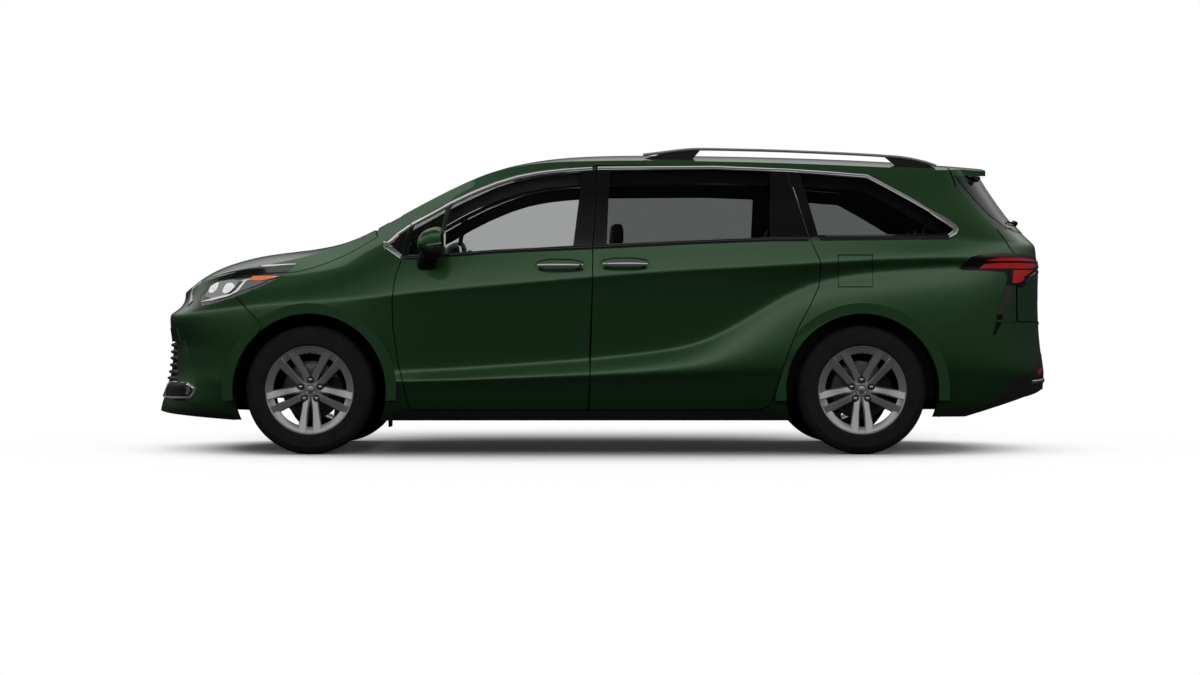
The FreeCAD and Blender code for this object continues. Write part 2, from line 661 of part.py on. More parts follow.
def floor_pan():
    """The floor with its rocker boxes, tunnel ribs, scuttle wall and load floor."""
    plan = (
        (1180, 0), (1180, 700), (1100, 888), (-880, 888), (-940, 700), (-2250, 700), (-2500, 560), (-2500, 0),
    )
    pan = plan_prism(both_sides(plan), FLOOR - size("floor_thickness"), FLOOR)
    voids = both(wheel_void(REAR_AXLE, ARCH + 24, 640, 1100)) + both(wheel_void(FRONT_AXLE, ARCH + 24, 532, 1100))
    scuttle = core(64, 90).common(block(1180, 1215, -830, 830, FLOOR - 60, 1130))
    rails = [block(1180, 2380, y, y + 90, 470, 590) for y in (-530, 440)]
    beam = block(2330, 2400, -600, 600, 470, 600)
    ribs = [block(x0, x1, y, y + 70, 240, FLOOR - 50) for y in (-560, 490) for x0, x1 in ((-2300, -1500), (-960, 1150))]
    post = [block(1180, 1200, y, y + 90, FLOOR - 60, 600) for y in (-530, 440)]
    sill = block(-860, 1060, 760, 905, 215, 241)
    web = block(-860, 1060, 760, 800, 241, FLOOR - 50)
    mat = block(-2250, -1960, -480, 480, FLOOR - 10, FLOOR + 4)
    whole = pan.fuse([scuttle, beam, mat] + both(sill) + both(web) + rails + ribs + post)
    return whole.cut(voids)


def arch_liners():
    """Half round liners over the four wheels, with the mud flaps that hang from them."""
    parts = []
    for axle, y0, y1, z0 in ((FRONT_AXLE, 536, 898, 300), (REAR_AXLE, 702, 898, 300)):
        wall = y0 + 4 if axle == REAR_AXLE else y0 - 4
        shell = wheel_void(axle, ARCH + 22, y0, y1).cut(wheel_void(axle, ARCH + 10, wall, y1 + 10))
        shell = shell.cut(wheel_void(axle, 200, 500, 760))
        parts.append(shell.common(block(axle - 600, axle + 600, y0, y1, z0, 1000)))
    back = REAR_AXLE - ARCH - 20
    front_flap = [block(1186, 1196, 720, 915, 150, 291.5), block(1186, 1196, 836, 898, 291, 330)]
    return [parts[0].fuse(front_flap), parts[1].fuse(block(back, back + 10, 760, 915, 205, 420))]


# Inside the cabin

def seat(x, y, width, base, back_top=1130.0, lean=12.0):
    """A seat on its plinth: cushion, leaning back and head restraint, front edge at x."""
    half = width / 2
    profile = (
        (x, base + 110), (x - 20, base + 210), (x - 420, base + 190), (x - 560, back_top - 60), (x - 600, back_top),
        (x - 690, back_top), (x - 650, back_top - 140), (x - 560, base + 60), (x - 500, base + 90),
    )
    body = side_prism(profile, y - half, y + half)
    head = block(x - 690, x - 600, y - 120, y + 120, back_top + 30, back_top + 190)
    stems = [rod((x - 645, y + d, back_top - 20), (x - 645, y + d, back_top + 40), 8) for d in (-60, 60)]
    plinth = block(x - 540, x - 60, y - half + 60, y + half - 60, FLOOR, base + 130)
    return body.fuse([head, plinth] + stems)


def dashboard():
    profile = ((1179.7, 620), (1179.7, 1060), (1120, 1085), (900, 1075), (820, 1030), (800, 930), (900, 800), (1060, 640))
    dash = side_prism(profile, -820, 820)
    console = block(380, 1000, -112, 112, FLOOR, 760)
    return dash.fuse(console)


def steering_wheel():
    """The wheel on the end of its column, tilted towards the driver's seat on the left."""
    centre = Vector(690, 380, 975)
    axis = Vector(-0.9, 0, 0.43)
    ring = Part.makeTorus(180, 16, centre, axis)
    hub = Part.makeCylinder(48, 40, centre - axis * 20, axis)
    column = rod((890, 380, 880), (centre.x, centre.y, centre.z), 26)
    bars = [rod((centre.x, centre.y, centre.z), (centre.x, centre.y + s * 180, centre.z), 12) for s in (1, -1)]
    return tidy(ring.fuse([hub, column] + bars).cut(dashboard()))


def floor_limits(shape):
    """The floor stays inside the door panels, and inside the rocker below them."""
    low = shape.common(core(55.3, 60)).common(block(-3000, 3000, -1200, 1200, 0, SILL + 50))
    high = shape.common(core(DOOR + 12, 100)).common(block(-3000, 3000, -1200, 1200, SILL + 50, 2000))
    stops = Part.Compound([rod((2345, y, 560), (2345, y, 1100), 16) for y in (-320, 320)]).common(core(24.3, 24.3))
    return low.fuse([high, stops])


def rail_left():
    """A roof rail that lies on the roof along its whole length."""
    outline = (
        (-225, 1600), (-225, 1680), (-300, 1704), (-420, 1716), (-700, 1723), (-1000, 1718), (-1430, 1700),
        (-1620, 1683), (-1800, 1655), (-1892, 1636), (-1892, 1600),
    )
    return tidy(side_prism(outline, 618, 656).cut(core(0, 0)))


def b_pillar_left():
    """The post between the doors, inside both of them."""
    low = core(DOOR + 8, 60).cut(core(DOOR + 48, 100)).common(block(5, 118, 0, 1300, FLOOR, 1140))
    inner = core(DOOR + 18, 90)
    high = core(FRAME + 8, FRAME + 8).cut(inner).common(block(-20, 92, 0, 1300, 1140, 1660))
    head = core(FRAME + 8, 40).cut(inner).common(block(-20, 92, 0, 1300, 1619, 1700))
    catches = core(DOOR + SLIT, 100).cut(core(DOOR + 12, 120))
    catches = [catches.common(block(x, x + 26, 700, 1300, 640, 700)) for x in (10, 86)]
    return tidy(low.fuse([high, head] + catches))


def mirror_left():
    """The outside mirror on its foot, with the door's pull handle beside it."""
    outline = (
        (1031, 1195), (1008, 1243), (960, 1260), (890, 1256), (868, 1238), (862, 1150), (880, 1128), (962, 1127), (1012, 1146),
    )
    cap = side_prism(outline, 1008, 1196)
    slope = polygon(((1050, 1120), (1050, 1240), (940, 1240)), lambda x, y: Vector(x, y, 1000))
    cap = cap.cut(slope.extrude(Vector(0, 0, 400)))
    cap = cap.makeFillet(16, [e for e in cap.Edges if abs(e.BoundBox.YMax - 1196) < 1 or e.BoundBox.YMin < 1009])
    foot = side_prism(((1040, 1060), (1030, 1150), (900, 1150), (885, 1060)), 900, 1050)
    return tidy(cap.fuse(foot).cut(core(0, 0)))


def handle_left(x0, x1, z):
    """A pull handle that stands out of the door on its two feet."""
    grip = block(x0, x1, 990, 1006, z - 15, z + 15)
    feet = [block(x, x + 26, 940, 992, z - 13, z + 13) for x in (x0, x1 - 26)]
    return tidy(grip.fuse(feet).cut(core(CUP_DEPTH, CUP_DEPTH)))


def slide_rail_left():
    """The channel for the sliding door's upper roller, under the rear side window."""
    return tidy(panel(side_prism(SLIDE_RAIL), 6))


shapes = {}
front_door = front_door_left()
front_glass = front_glass_left()
slider = slider_left()
side_frame = side_frame_left()
fender = fender_left()
lid_pocket = side_prism(FUEL_LID).cut(core(24, 24))
buffers = [rod((-1480, 700, z), (-1480, 1000, z), 7) for z in (950, 1084)]
lid_stops = Part.Compound(buffers).common(core(10.3, 10.3)).cut(core(30, 30))
rail_seat = side_prism(SLIDE_RAIL).cut(core(6, 6))
quarter = side_frame.cut([wheel_void(REAR_AXLE, ARCH, 500, 1100), lid_pocket, rail_seat])
band = flare_left(REAR_AXLE).cut([DOORS_OUT["slider"], side_prism(grown(TAIL_LOWER, SLIT))])
quarter = quarter.fuse([band, lid_stops])
band = flare_left(FRONT_AXLE).cut([DOORS_OUT["front"], side_prism(grown(NOSE_LOWER, 1.5)), side_prism(grown(LIP, SLIT))])
fender = fender.cut([wheel_void(FRONT_AXLE, ARCH, 500, 1100), side_prism(grown(LIP, SLIT))]).fuse(band)

shapes["front_door_left"] = front_door
shapes["front_glass_left"] = front_glass
shapes["sliding_door_left"] = slider
shapes["side_frame_left"] = tidy(quarter)
shapes["fender_left"] = tidy(fender)
shapes["side_glass"] = Part.Compound(both(quarter_glass_left()) + both(slider_glass_left()))
shapes["hood"] = hood_whole()
shapes["windshield"] = screen()
shapes["cowl"] = cowl()
shapes["roof_panel"] = roof_panel()
shapes["front_bumper"] = tidy(front_bumper())
shapes["front_grille"] = front_grille()
shapes["front_lip"] = front_lip()
shapes["headlamps"] = Part.Compound(both(headlamp_left()))
shapes["tail_lamps"] = Part.Compound(both(tail_lamp_left()))
shapes["rear_bumper"] = rear_bumper()
shapes["liftgate"] = gate_whole()
shapes["liftgate_glass"] = gate_glass()
shapes["spoiler"] = spoiler()
shapes["fuel_lid"] = fuel_lid()
shapes["floor_pan"] = tidy(floor_limits(floor_pan()))
liners = []
for part, inset in zip(arch_liners(), (26.3, 55.3)):
    liners += both(tidy(part.common(core(inset, 60))))
shapes["arch_liners"] = Part.Compound(liners)
shapes["roof_rails"] = Part.Compound(both(rail_left()))
shapes["b_pillars"] = Part.Compound(both(b_pillar_left()))
shapes["dashboard"] = dashboard()
shapes["steering_wheel"] = steering_wheel()
shapes["front_seats"] = Part.Compound([seat(560, y, 520, FLOOR + 120) for y in (380, -380)])
shapes["middle_seats"] = Part.Compound([seat(-380, y, 500, FLOOR + 120) for y in (400, -400)])
shapes["rear_bench"] = seat(-1240, 0, 1240, FLOOR + 120)
shapes["knuckle_left"] = knuckle_left()
mirror = mirror_left()
shapes["door_fittings_left"] = Part.Compound([mirror, handle_left(118, 356, 1045)])
shapes["slide_fittings"] = Part.Compound(both(handle_left(-232, -2, 1052)) + both(slide_rail_left()))

PAIRS = ("front_door", "front_glass", "sliding_door", "side_frame", "fender", "knuckle", "door_fittings")
for name in PAIRS:
    shapes[f"{name}_right"] = mirrored(shapes[f"{name}_left"])


# The document: panels as shapes, plain pieces as primitives bound to the sheet

def add_feature(name, shape, base=Vector(0, 0, 0)):
    made = doc.addObject("Part::Feature", name)
    made.Label = name
    made.Shape = shape
    made.Placement = FreeCAD.Placement(base, FreeCAD.Rotation())
    return made


def primitive(kind, name, place, direction=None, **formulas):
    """A Part primitive whose sizes and place follow formulas of the sheet's cells."""
    made = doc.addObject(kind, name)
    for prop, formula in formulas.items():
        made.setExpression(prop, formula)
    if direction is not None:
        made.Placement = FreeCAD.Placement(Vector(), FreeCAD.Rotation(Vector(0, 0, 1), Vector(*direction)))
    for key, formula in zip("xyz", place):
        made.setExpression(f".Placement.Base.{key}", formula)
    return made


def box(name, x, y, z, length, width, height):
    return primitive("Part::Box", name, (x, y, z), Length=length, Width=width, Height=height)


def bar(name, x, y, z, radius, height, direction):
    return primitive("Part::Cylinder", name, (x, y, z), direction, Radius=radius, Height=height)


def fused(name, pieces):
    made = doc.addObject("Part::MultiFuse", name)
    made.Label = name
    made.Shapes = pieces
    return made


FA = "sizes.front_axle_x"
RA = "sizes.front_axle_x - sizes.wheelbase"
HT = "sizes.track / 2"
WR = "sizes.tyre_radius"

nodes = {name: add_feature(name, shape) for name, shape in shapes.items()}

engine = box("engine_block", f"{FA} - 300", "-400", "300.3", "570", "800", "540")
engine.Label = "engine_block"
nodes["engine_block"] = engine

pieces = [box("cross_member", f"{FA} - 170", "-520", "240", "300", "1040", "60")]
for side, s in (("left", 1), ("right", -1)):
    inner = "450" if s > 0 else "-520"
    tower = "440" if s > 0 else "-530"
    pieces += [
        box(f"leg_{side}", f"{FA} - 120", inner, "290", "80", "70", "179.7"),
        box(f"tower_{side}", f"{FA} - 40", tower, "590.3", "80", "90", "165"),
        bar(f"arm_{side}", FA, f"{500 * s}", "262", "17", "276", (0, s * 270, -56)),
        bar(f"top_{side}", FA, f"{520 * s}", "726", "24", "165", (0, s, 0)),
    ]
    for i, mount in enumerate(strut_mounts()):
        pieces.append(add_feature(f"mount_{side}_{i}", mount if s > 0 else mirrored(mount)))
nodes["front_subframe"] = fused("front_subframe", pieces)

pieces = [bar("beam", f"{RA} + 60", "-660", "245", "32", "1320", (0, 1, 0))]
for side, s in (("left", 1), ("right", -1)):
    pieces += [
        bar(f"stub_{side}", RA, f"{648 * s}", WR, "62", f"{HT} - 70 - 648", (0, s, 0)),
        bar(f"spindle_{side}", RA, f"{700 * s}", WR, "sizes.hub_bore_radius - 0.3", f"{HT} - 12 - 700", (0, s, 0)),
        bar(f"crank_{side}", f"{RA} + 60", f"{678 * s}", "245", "26", "127", (-60, 0, 112)),
        bar(f"trail_{side}", f"{RA} + 60", f"{600 * s}", "245", "24", "380", (372, -70 * s, 14)),
        bar(f"spring_{side}", f"{RA} + 60", f"{560 * s}", "245", "44", "sizes.floor_top - sizes.floor_thickness - 245.3", (0, 0, 1)),
    ]
    for i, shape in enumerate(caliper_left(REAR_AXLE)):
        pieces.append(add_feature(f"caliper_{side}_{i}", shape if s > 0 else mirrored(shape)))
nodes["rear_axle"] = fused("rear_axle", pieces)

wheel_rim, wheel_tyre = rim(), tyre()
for corner, (axle, side) in WHEELS.items():
    base = Vector(axle, side * HALF_TRACK, TYRE)
    nodes[f"rim_{corner}"] = add_feature(f"rim_{corner}", wheel_rim if side > 0 else mirrored(wheel_rim), base)
    nodes[f"tyre_{corner}"] = add_feature(f"tyre_{corner}", wheel_tyre, base)

doc.recompute()

for made in doc.Objects:
    if "Invalid" in made.State or "Error" in made.State:
        raise RuntimeError(f"{made.Name} failed: {made.State}")
for name, made in nodes.items():
    if made.Shape.isNull() or not made.Shape.isValid():
        raise RuntimeError(f"{name} has no valid shape")

os.makedirs("parts", exist_ok=True)
for name, made in nodes.items():
    made.Shape.exportStep(os.path.join("parts", f"{name}.step"))
    print(name, len(made.Shape.Solids), round(made.Shape.Volume / 1e6, 2))
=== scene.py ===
"""A green minivan on a pale studio floor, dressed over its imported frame."""

import math

import bmesh
import bpy
from mathutils import Matrix, Vector
from mathutils.bvhtree import BVHTree
from mathutils.geometry import delaunay_2d_cdt


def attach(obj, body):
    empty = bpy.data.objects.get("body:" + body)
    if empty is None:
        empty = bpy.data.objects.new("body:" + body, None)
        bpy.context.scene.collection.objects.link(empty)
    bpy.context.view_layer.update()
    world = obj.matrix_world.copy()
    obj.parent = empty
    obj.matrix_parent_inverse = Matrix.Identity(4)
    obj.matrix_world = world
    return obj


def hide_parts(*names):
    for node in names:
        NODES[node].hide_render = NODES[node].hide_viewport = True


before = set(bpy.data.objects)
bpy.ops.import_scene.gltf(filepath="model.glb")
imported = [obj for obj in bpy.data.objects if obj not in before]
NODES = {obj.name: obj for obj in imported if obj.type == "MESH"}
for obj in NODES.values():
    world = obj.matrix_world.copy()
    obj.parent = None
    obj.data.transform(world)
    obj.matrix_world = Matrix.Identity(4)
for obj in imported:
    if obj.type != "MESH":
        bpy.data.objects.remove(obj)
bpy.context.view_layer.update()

SIDES = (("left", 1.0), ("right", -1.0))

# The bodies that pieces ride on; SIDE stands for left or right
BODY = "body"
DOOR = "front_door_SIDE_body"
HOOD = "hood_body"
GATE = "liftgate_body"


def new_object(name, data):
    made = bpy.data.objects.new(name, data)
    bpy.context.scene.collection.objects.link(made)
    return made


# Camera: level, low, fifteen metres to the car's left

CAMERA_DISTANCE = 15.0
CAMERA_X = 0.0185
CAMERA_HEIGHT = 0.6487
FOCAL_PX = 2536.0
FRAME_PX = 1200.0
SENSOR_MM = 36.0


def make_camera():
    data = bpy.data.cameras.new("camera")
    data.sensor_width = SENSOR_MM
    data.lens = SENSOR_MM * FOCAL_PX / FRAME_PX
    data.clip_end = 200.0
    camera = new_object("camera", data)
    camera.location = (CAMERA_X, CAMERA_DISTANCE, CAMERA_HEIGHT)
    camera.rotation_euler = (math.radians(90), 0, math.radians(180))
    bpy.context.scene.camera = camera


# Shader nodes

def node(tree, kind, operation=None, **sockets):
    """A new node; the names of its sockets are given with _ for a space."""
    made = tree.nodes.new(kind)
    if operation:
        made.operation = operation
    for key, value in sockets.items():
        made.inputs[key.replace("_", " ")].default_value = value
    return made


def link(tree, start, output, end, entry):
    tree.links.new(start.outputs[output], end.inputs[entry])


def mixed(tree, share, first, second):
    """Two shaders mixed by a value."""
    mix = node(tree, "ShaderNodeMixShader")
    for place, source in enumerate((share, first, second)):
        link(tree, source, 0, mix, place)
    return mix


def shader(name, **sockets):
    """A material with one Principled shader, its plain values set on the sockets."""
    material = bpy.data.materials.new(name)
    material.use_nodes = True
    principled = principled_of(material.node_tree)
    for key, value in sockets.items():
        principled.inputs[key.replace("_", " ")].default_value = value
    return material


def principled_of(tree):
    return tree.nodes["Principled BSDF"]


def gray(value):
    return (value, value, value, 1.0)


# Materials

MATERIALS = {}


def grain(material, scale, strength, distance, kind="noise"):
    """Fine relief over the whole surface."""
    tree = material.node_tree
    place = node(tree, "ShaderNodeTexCoord")
    if kind == "noise":
        texture = node(tree, "ShaderNodeTexNoise", Scale=scale, Detail=3.0)
        source = "Fac"
    else:
        texture = node(tree, "ShaderNodeTexVoronoi", Scale=scale)
        source = "Distance"
    bump = node(tree, "ShaderNodeBump", Strength=strength, Distance=distance)
    link(tree, place, "Object", texture, "Vector")
    link(tree, texture, source, bump, "Height")
    link(tree, bump, "Normal", principled_of(tree), "Normal")


def mottled(material, scale, low, high, target="Base Color"):
    """A value or colour that drifts between two over the surface."""
    tree = material.node_tree
    place = node(tree, "ShaderNodeTexCoord")
    texture = node(tree, "ShaderNodeTexNoise", Scale=scale, Detail=4.0)
    ramp = node(tree, "ShaderNodeValToRGB")
    for element, position, color in zip(ramp.color_ramp.elements, (0.35, 0.65), (low, high)):
        element.position = position
        element.color = color
    link(tree, place, "Object", texture, "Vector")
    link(tree, texture, "Fac", ramp, "Fac")
    link(tree, ramp, "Color", principled_of(tree), target)


def add_material(key, name, mottle=(), relief=(), **sockets):
    """Adds a material: its shader, what drifts over its surface, and its relief."""
    MATERIALS[key] = shader(name, **sockets)
    if mottle:
        mottled(MATERIALS[key], *mottle)
    if relief:
        grain(MATERIALS[key], *relief)


def make_outer_materials():
    add_material(
        "paint", "green_paint", mottle=(900.0, (0.052, 0.15, 0.058, 1), (0.068, 0.19, 0.075, 1)),
        Metallic=0.85, Roughness=0.42, Coat_Weight=1.0, Coat_Roughness=0.03,
    )
    add_material(
        "black", "black_plastic", mottle=(60.0, gray(0.016), gray(0.022)), relief=(1400.0, 0.25, 0.0004),
        Roughness=0.55,
    )
    add_material(
        "piano", "gloss_black", relief=(300.0, 0.02, 0.0002),
        Base_Color=gray(0.012), Roughness=0.12, Coat_Weight=0.6, Coat_Roughness=0.02,
    )


def make_metals():
    bright = (
        ("chrome", "chrome", gray(0.92), 0.7, 0.12, (200.0, 0.02, 0.0002)),
        ("mirror", "mirror_glass", gray(0.85), 1.0, 0.02, (60.0, 0.01, 0.0001)),
        ("silver", "satin_silver", gray(0.72), 0.9, 0.3, (500.0, 0.05, 0.0002)),
        ("bowl", "lamp_bowl", gray(0.26), 0.8, 0.3, (400.0, 0.1, 0.0003)),
        ("graphite", "graphite", gray(0.13), 0.6, 0.35, (500.0, 0.05, 0.0002)),
    )
    for key, name, color, metallic, roughness, relief in bright:
        add_material(key, name, relief=relief, Base_Color=color, Metallic=metallic, Roughness=roughness)
    add_material(
        "steel", "chassis_steel", mottle=(20.0, gray(0.018), gray(0.035)), relief=(120.0, 0.2, 0.0006),
        Roughness=0.55, Metallic=0.3,
    )


def make_wheel_materials():
    add_material(
        "alloy", "alloy", relief=(700.0, 0.05, 0.0002), Base_Color=(0.72, 0.725, 0.73, 1), Metallic=0.5,
        Roughness=0.28, Coat_Weight=0.5, Coat_Roughness=0.06,
    )
    add_material(
        "iron", "disc_iron", mottle=(40.0, gray(0.25), gray(0.5), "Roughness"),
        Base_Color=gray(0.14), Metallic=1.0, Roughness=0.38,
    )
    add_material(
        "rubber", "tyre_rubber", mottle=(18.0, gray(0.02), gray(0.03)), relief=(500.0, 0.3, 0.0006),
        Roughness=0.78,
    )


def make_glass_and_lenses():
    tinted = (
        ("clear", "clear_glass", (0.575, 0.58, 0.58, 1), 0.0, 1.09),
        ("privacy", "privacy_glass", (0.3, 0.31, 0.31, 1), 0.0, 1.09),
        ("lens", "lamp_lens", (0.93, 0.94, 0.95, 1), 0.02, 1.4),
    )
    for key, name, color, roughness, index in tinted:
        add_material(key, name, Base_Color=color, Roughness=roughness, IOR=index, Transmission_Weight=1.0)
    add_material(
        "cover", "lamp_cover",
        Base_Color=(0.97, 0.975, 0.98, 1), Roughness=0.0, IOR=1.08, Transmission_Weight=1.0, Coat_Weight=1.0,
    )
    # The red lens carries a faint painted glow (its emission): it shows on the unlit tail lamps, the high
    # brake lamp and the rear reflectors alike.
    add_material(
        "red", "red_lens", relief=(260.0, 0.4, 0.001, "cells"), Base_Color=(0.62, 0.02, 0.02, 1),
        Roughness=0.08, Coat_Weight=1.0, Emission_Color=(0.8, 0.03, 0.03, 1), Emission_Strength=0.18,
    )
    add_material(
        "amber", "amber", relief=(300.0, 0.4, 0.001, "cells"),
        Base_Color=(0.72, 0.13, 0.012, 1), Roughness=0.15, Coat_Weight=1.0,
    )


def make_cabin_materials():
    add_material(
        "cabin", "cabin_plastic", mottle=(30.0, gray(0.02), gray(0.028)), relief=(900.0, 0.3, 0.0004),
        Roughness=0.6,
    )
    add_material(
        "leather", "leather", mottle=(14.0, gray(0.024), gray(0.034)), relief=(420.0, 0.35, 0.0006, "cells"),
        Roughness=0.48, Sheen_Weight=0.15,
    )


# What each node of the frame is made of; SIDE stands for left and right
FRAME_FINISHES = {
    "paint": (
        "side_frame_SIDE", "fender_SIDE", "sliding_door_SIDE", "front_door_SIDE", "hood", "roof_panel",
        "front_bumper", "rear_bumper", "liftgate", "spoiler", "fuel_lid",
    ),
    "clear": ("windshield", "front_glass_SIDE"),
    "privacy": ("side_glass", "liftgate_glass"),
    "piano": ("door_fittings_SIDE", "headlamps", "tail_lamps"),
    "black": ("cowl", "front_grille", "front_lip", "arch_liners", "slide_fittings"),
    "silver": ("roof_rails",),
    "cabin": ("dashboard", "steering_wheel", "b_pillars"),
    "leather": ("front_seats", "middle_seats", "rear_bench"),
    "steel": ("floor_pan", "front_subframe", "rear_axle", "knuckle_SIDE", "engine_block"),
    "alloy": ("rim_front_SIDE", "rim_rear_SIDE"),
    "rubber": ("tyre_front_SIDE", "tyre_rear_SIDE"),
}


def dress(name, material):
    found = NODES[name]
    if not found.material_slots:
        found.data.materials.append(material)
    for slot in found.material_slots:
        slot.material = material


def dress_frame():
    for key, patterns in FRAME_FINISHES.items():
        names = {pattern.replace("SIDE", side) for pattern in patterns for side, _ in SIDES}
        for name in sorted(names):
            dress(name, MATERIALS[key])


# Studio

# How bright the sky is by the height of a direction, and by how far it looks to the camera's side
SKY_HEIGHTS = (
    (0.0, 0.02), (0.08, 0.03), (0.17, 0.16), (0.3, 0.6), (0.38, 0.76), (0.48, 0.5), (0.6, 0.12),
    (0.75, 0.03), (1.0, 0.04),
)
SKY_SIDES = ((-0.6, 0.72), (0.1, 0.8), (0.5, 1.0))
SKY_STRENGTH = 1.15
# The soft shade the floor's material lays under the car, across it and along it
SHADE_ACROSS = (
    (-3.3, 0.0), (-2.6, 0.16), (-2.0, 0.52), (-1.3, 0.92), (-0.5, 1.0), (0.2, 0.9), (0.8, 0.5),
    (1.45, 0.17), (2.2, 0.0),
)
SHADE_ALONG = (
    (-2.5, 0.0), (-1.9, 0.22), (-1.2, 0.9), (-0.6, 1.0), (0.7, 1.0), (1.3, 0.9), (2.0, 0.22), (2.6, 0.0),
)
SHADE_REACH = 5.0
SHADE_GRAY = 0.032
# The floor as other rays find it, as the camera sees it near the car, and how it turns plain white
# with distance, which counts less along the car than across it
FLOOR_SIZE = 60.0
FLOOR_DIM = 0.03
FLOOR_PALE = 3.4
FLOOR_FADE = ((1.7, 0.0), (2.0, 0.6), (2.5, 1.0))
FADE_SQUEEZE = (0.8, 1.0, 0.0)
# The lamp over the car
LAMP_LENGTH, LAMP_WIDTH = 9.0, 5.0
LAMP_WATTS = 120.0
LAMP_PLACE = (0.0, -1.0, 6.5)
LAMP_TILT = 9.0


def value_ramp(tree, stops, source, output, low=0.0, high=1.0):
    """A colour ramp over low to high, fed by a value."""
    span = node(tree, "ShaderNodeMapRange", From_Min=low, From_Max=high)
    ramp = node(tree, "ShaderNodeValToRGB")
    elements = ramp.color_ramp.elements
    places = [((position - low) / (high - low), value) for position, value in stops]
    for element, (position, value) in zip(elements, (places[0], places[-1])):
        element.position = position
        element.color = gray(value)
    for position, value in places[1:-1]:
        elements.new(position).color = gray(value)
    link(tree, source, output, span, "Value")
    link(tree, span, "Result", ramp, "Fac")
    return ramp


def seen_directly(tree):
    """One for rays from the camera, straight or through glass, and zero for all others."""
    rays = node(tree, "ShaderNodeLightPath")
    direct = node(tree, "ShaderNodeMath", "MAXIMUM")
    link(tree, rays, "Is Camera Ray", direct, 0)
    link(tree, rays, "Is Transmission Ray", direct, 1)
    return direct


def make_sky():
    """A soft band of light round the studio, brightest on the camera's side, seen as plain white."""
    world = bpy.data.worlds.new("studio")
    bpy.context.scene.world = world
    world.use_nodes = True
    tree = world.node_tree
    background = tree.nodes["Background"]
    background.inputs["Strength"].default_value = SKY_STRENGTH
    place = node(tree, "ShaderNodeTexCoord")
    split = node(tree, "ShaderNodeSeparateXYZ")
    link(tree, place, "Generated", split, "Vector")
    heights = value_ramp(tree, SKY_HEIGHTS, split, "Z")
    sides = value_ramp(tree, SKY_SIDES, split, "Y", -1.0, 1.0)
    product = node(tree, "ShaderNodeMixRGB", Fac=1.0)
    product.blend_type = "MULTIPLY"
    link(tree, heights, "Color", product, "Color1")
    link(tree, sides, "Color", product, "Color2")
    link(tree, product, "Color", background, "Color")
    white = node(tree, "ShaderNodeBackground", Color=gray(1.0))
    mix = mixed(tree, seen_directly(tree), background, white)
    link(tree, mix, "Shader", tree.nodes["World Output"], "Surface")


def faded_floor(tree, place):
    """The floor that the camera sees without its shade: pale near the car, plain white further off."""
    squeeze = node(tree, "ShaderNodeVectorMath", "MULTIPLY")
    squeeze.inputs[1].default_value = FADE_SQUEEZE
    distance = node(tree, "ShaderNodeVectorMath", "LENGTH")
    link(tree, place, "Object", squeeze, 0)
    link(tree, squeeze, "Vector", distance, 0)
    away = value_ramp(tree, FLOOR_FADE, distance, "Value", FLOOR_FADE[0][0], FLOOR_FADE[-1][0])
    pale = node(tree, "ShaderNodeBsdfDiffuse", Color=gray(FLOOR_PALE))
    white = node(tree, "ShaderNodeEmission", Color=gray(1.0))
    return mixed(tree, away, pale, white)


def floor_shade(tree, place):
    """How deep the shade under the car is, from zero to one."""
    axes = node(tree, "ShaderNodeSeparateXYZ")
    link(tree, place, "Object", axes, "Vector")
    shade = node(tree, "ShaderNodeMath", "MULTIPLY")
    for entry, (stops, axis) in enumerate(((SHADE_ACROSS, "Y"), (SHADE_ALONG, "X"))):
        ramp = value_ramp(tree, stops, axes, axis, -SHADE_REACH, SHADE_REACH)
        ramp.color_ramp.interpolation = "B_SPLINE"
        link(tree, ramp, "Color", shade, entry)
    return shade


def make_floor():
    material = shader("studio_floor", Roughness=0.9)
    tree = material.node_tree
    place = node(tree, "ShaderNodeTexCoord")
    dark = node(tree, "ShaderNodeEmission", Color=gray(SHADE_GRAY))
    shaded = mixed(tree, floor_shade(tree, place), faded_floor(tree, place), dark)
    dim = node(tree, "ShaderNodeBsdfDiffuse", Color=gray(FLOOR_DIM))
    choice = mixed(tree, seen_directly(tree), dim, shaded)
    link(tree, choice, "Shader", tree.nodes["Material Output"], "Surface")
    mesh = bpy.data.meshes.new("studio_floor")
    shape = bmesh.new()
    bmesh.ops.create_grid(shape, x_segments=2, y_segments=2, size=FLOOR_SIZE)
    shape.to_mesh(mesh)
    shape.free()
    mesh.materials.append(material)
    floor = new_object("studio_floor", mesh)


def make_lamp():
    area = bpy.data.lights.new("overhead", "AREA")
    area.shape = "RECTANGLE"
    area.size, area.size_y = LAMP_LENGTH, LAMP_WIDTH
    area.energy = LAMP_WATTS
    light = new_object("overhead", area)
    light.location = LAMP_PLACE
    light.rotation_euler = (math.radians(LAMP_TILT), 0, 0)


make_camera()
make_outer_materials()
make_metals()
make_wheel_materials()
make_glass_and_lenses()
make_cabin_materials()
dress_frame()
make_sky()
make_floor()
make_lamp()
bpy.context.scene.view_settings.view_transform = "Standard"


# Geometry helpers


def new_mesh(name, vertices, faces):
    mesh = bpy.data.meshes.new(name)
    mesh.from_pydata([tuple(v) for v in vertices], [], [tuple(f) for f in faces])
    return mesh


def finish_edges(made, bevel, subdivide, angle):
    if bevel:
        modifier = made.modifiers.new("edges", "BEVEL")
        modifier.width = bevel
        modifier.segments = 2
        modifier.limit_method = "ANGLE"
        modifier.angle_limit = math.radians(angle)
        modifier.harden_normals = False
    if subdivide:
        modifier = made.modifiers.new("rounding", "SUBSURF")
        modifier.levels = subdivide
        modifier.render_levels = subdivide
    elif angle:
        made.data.set_sharp_from_angle(angle=math.radians(angle))


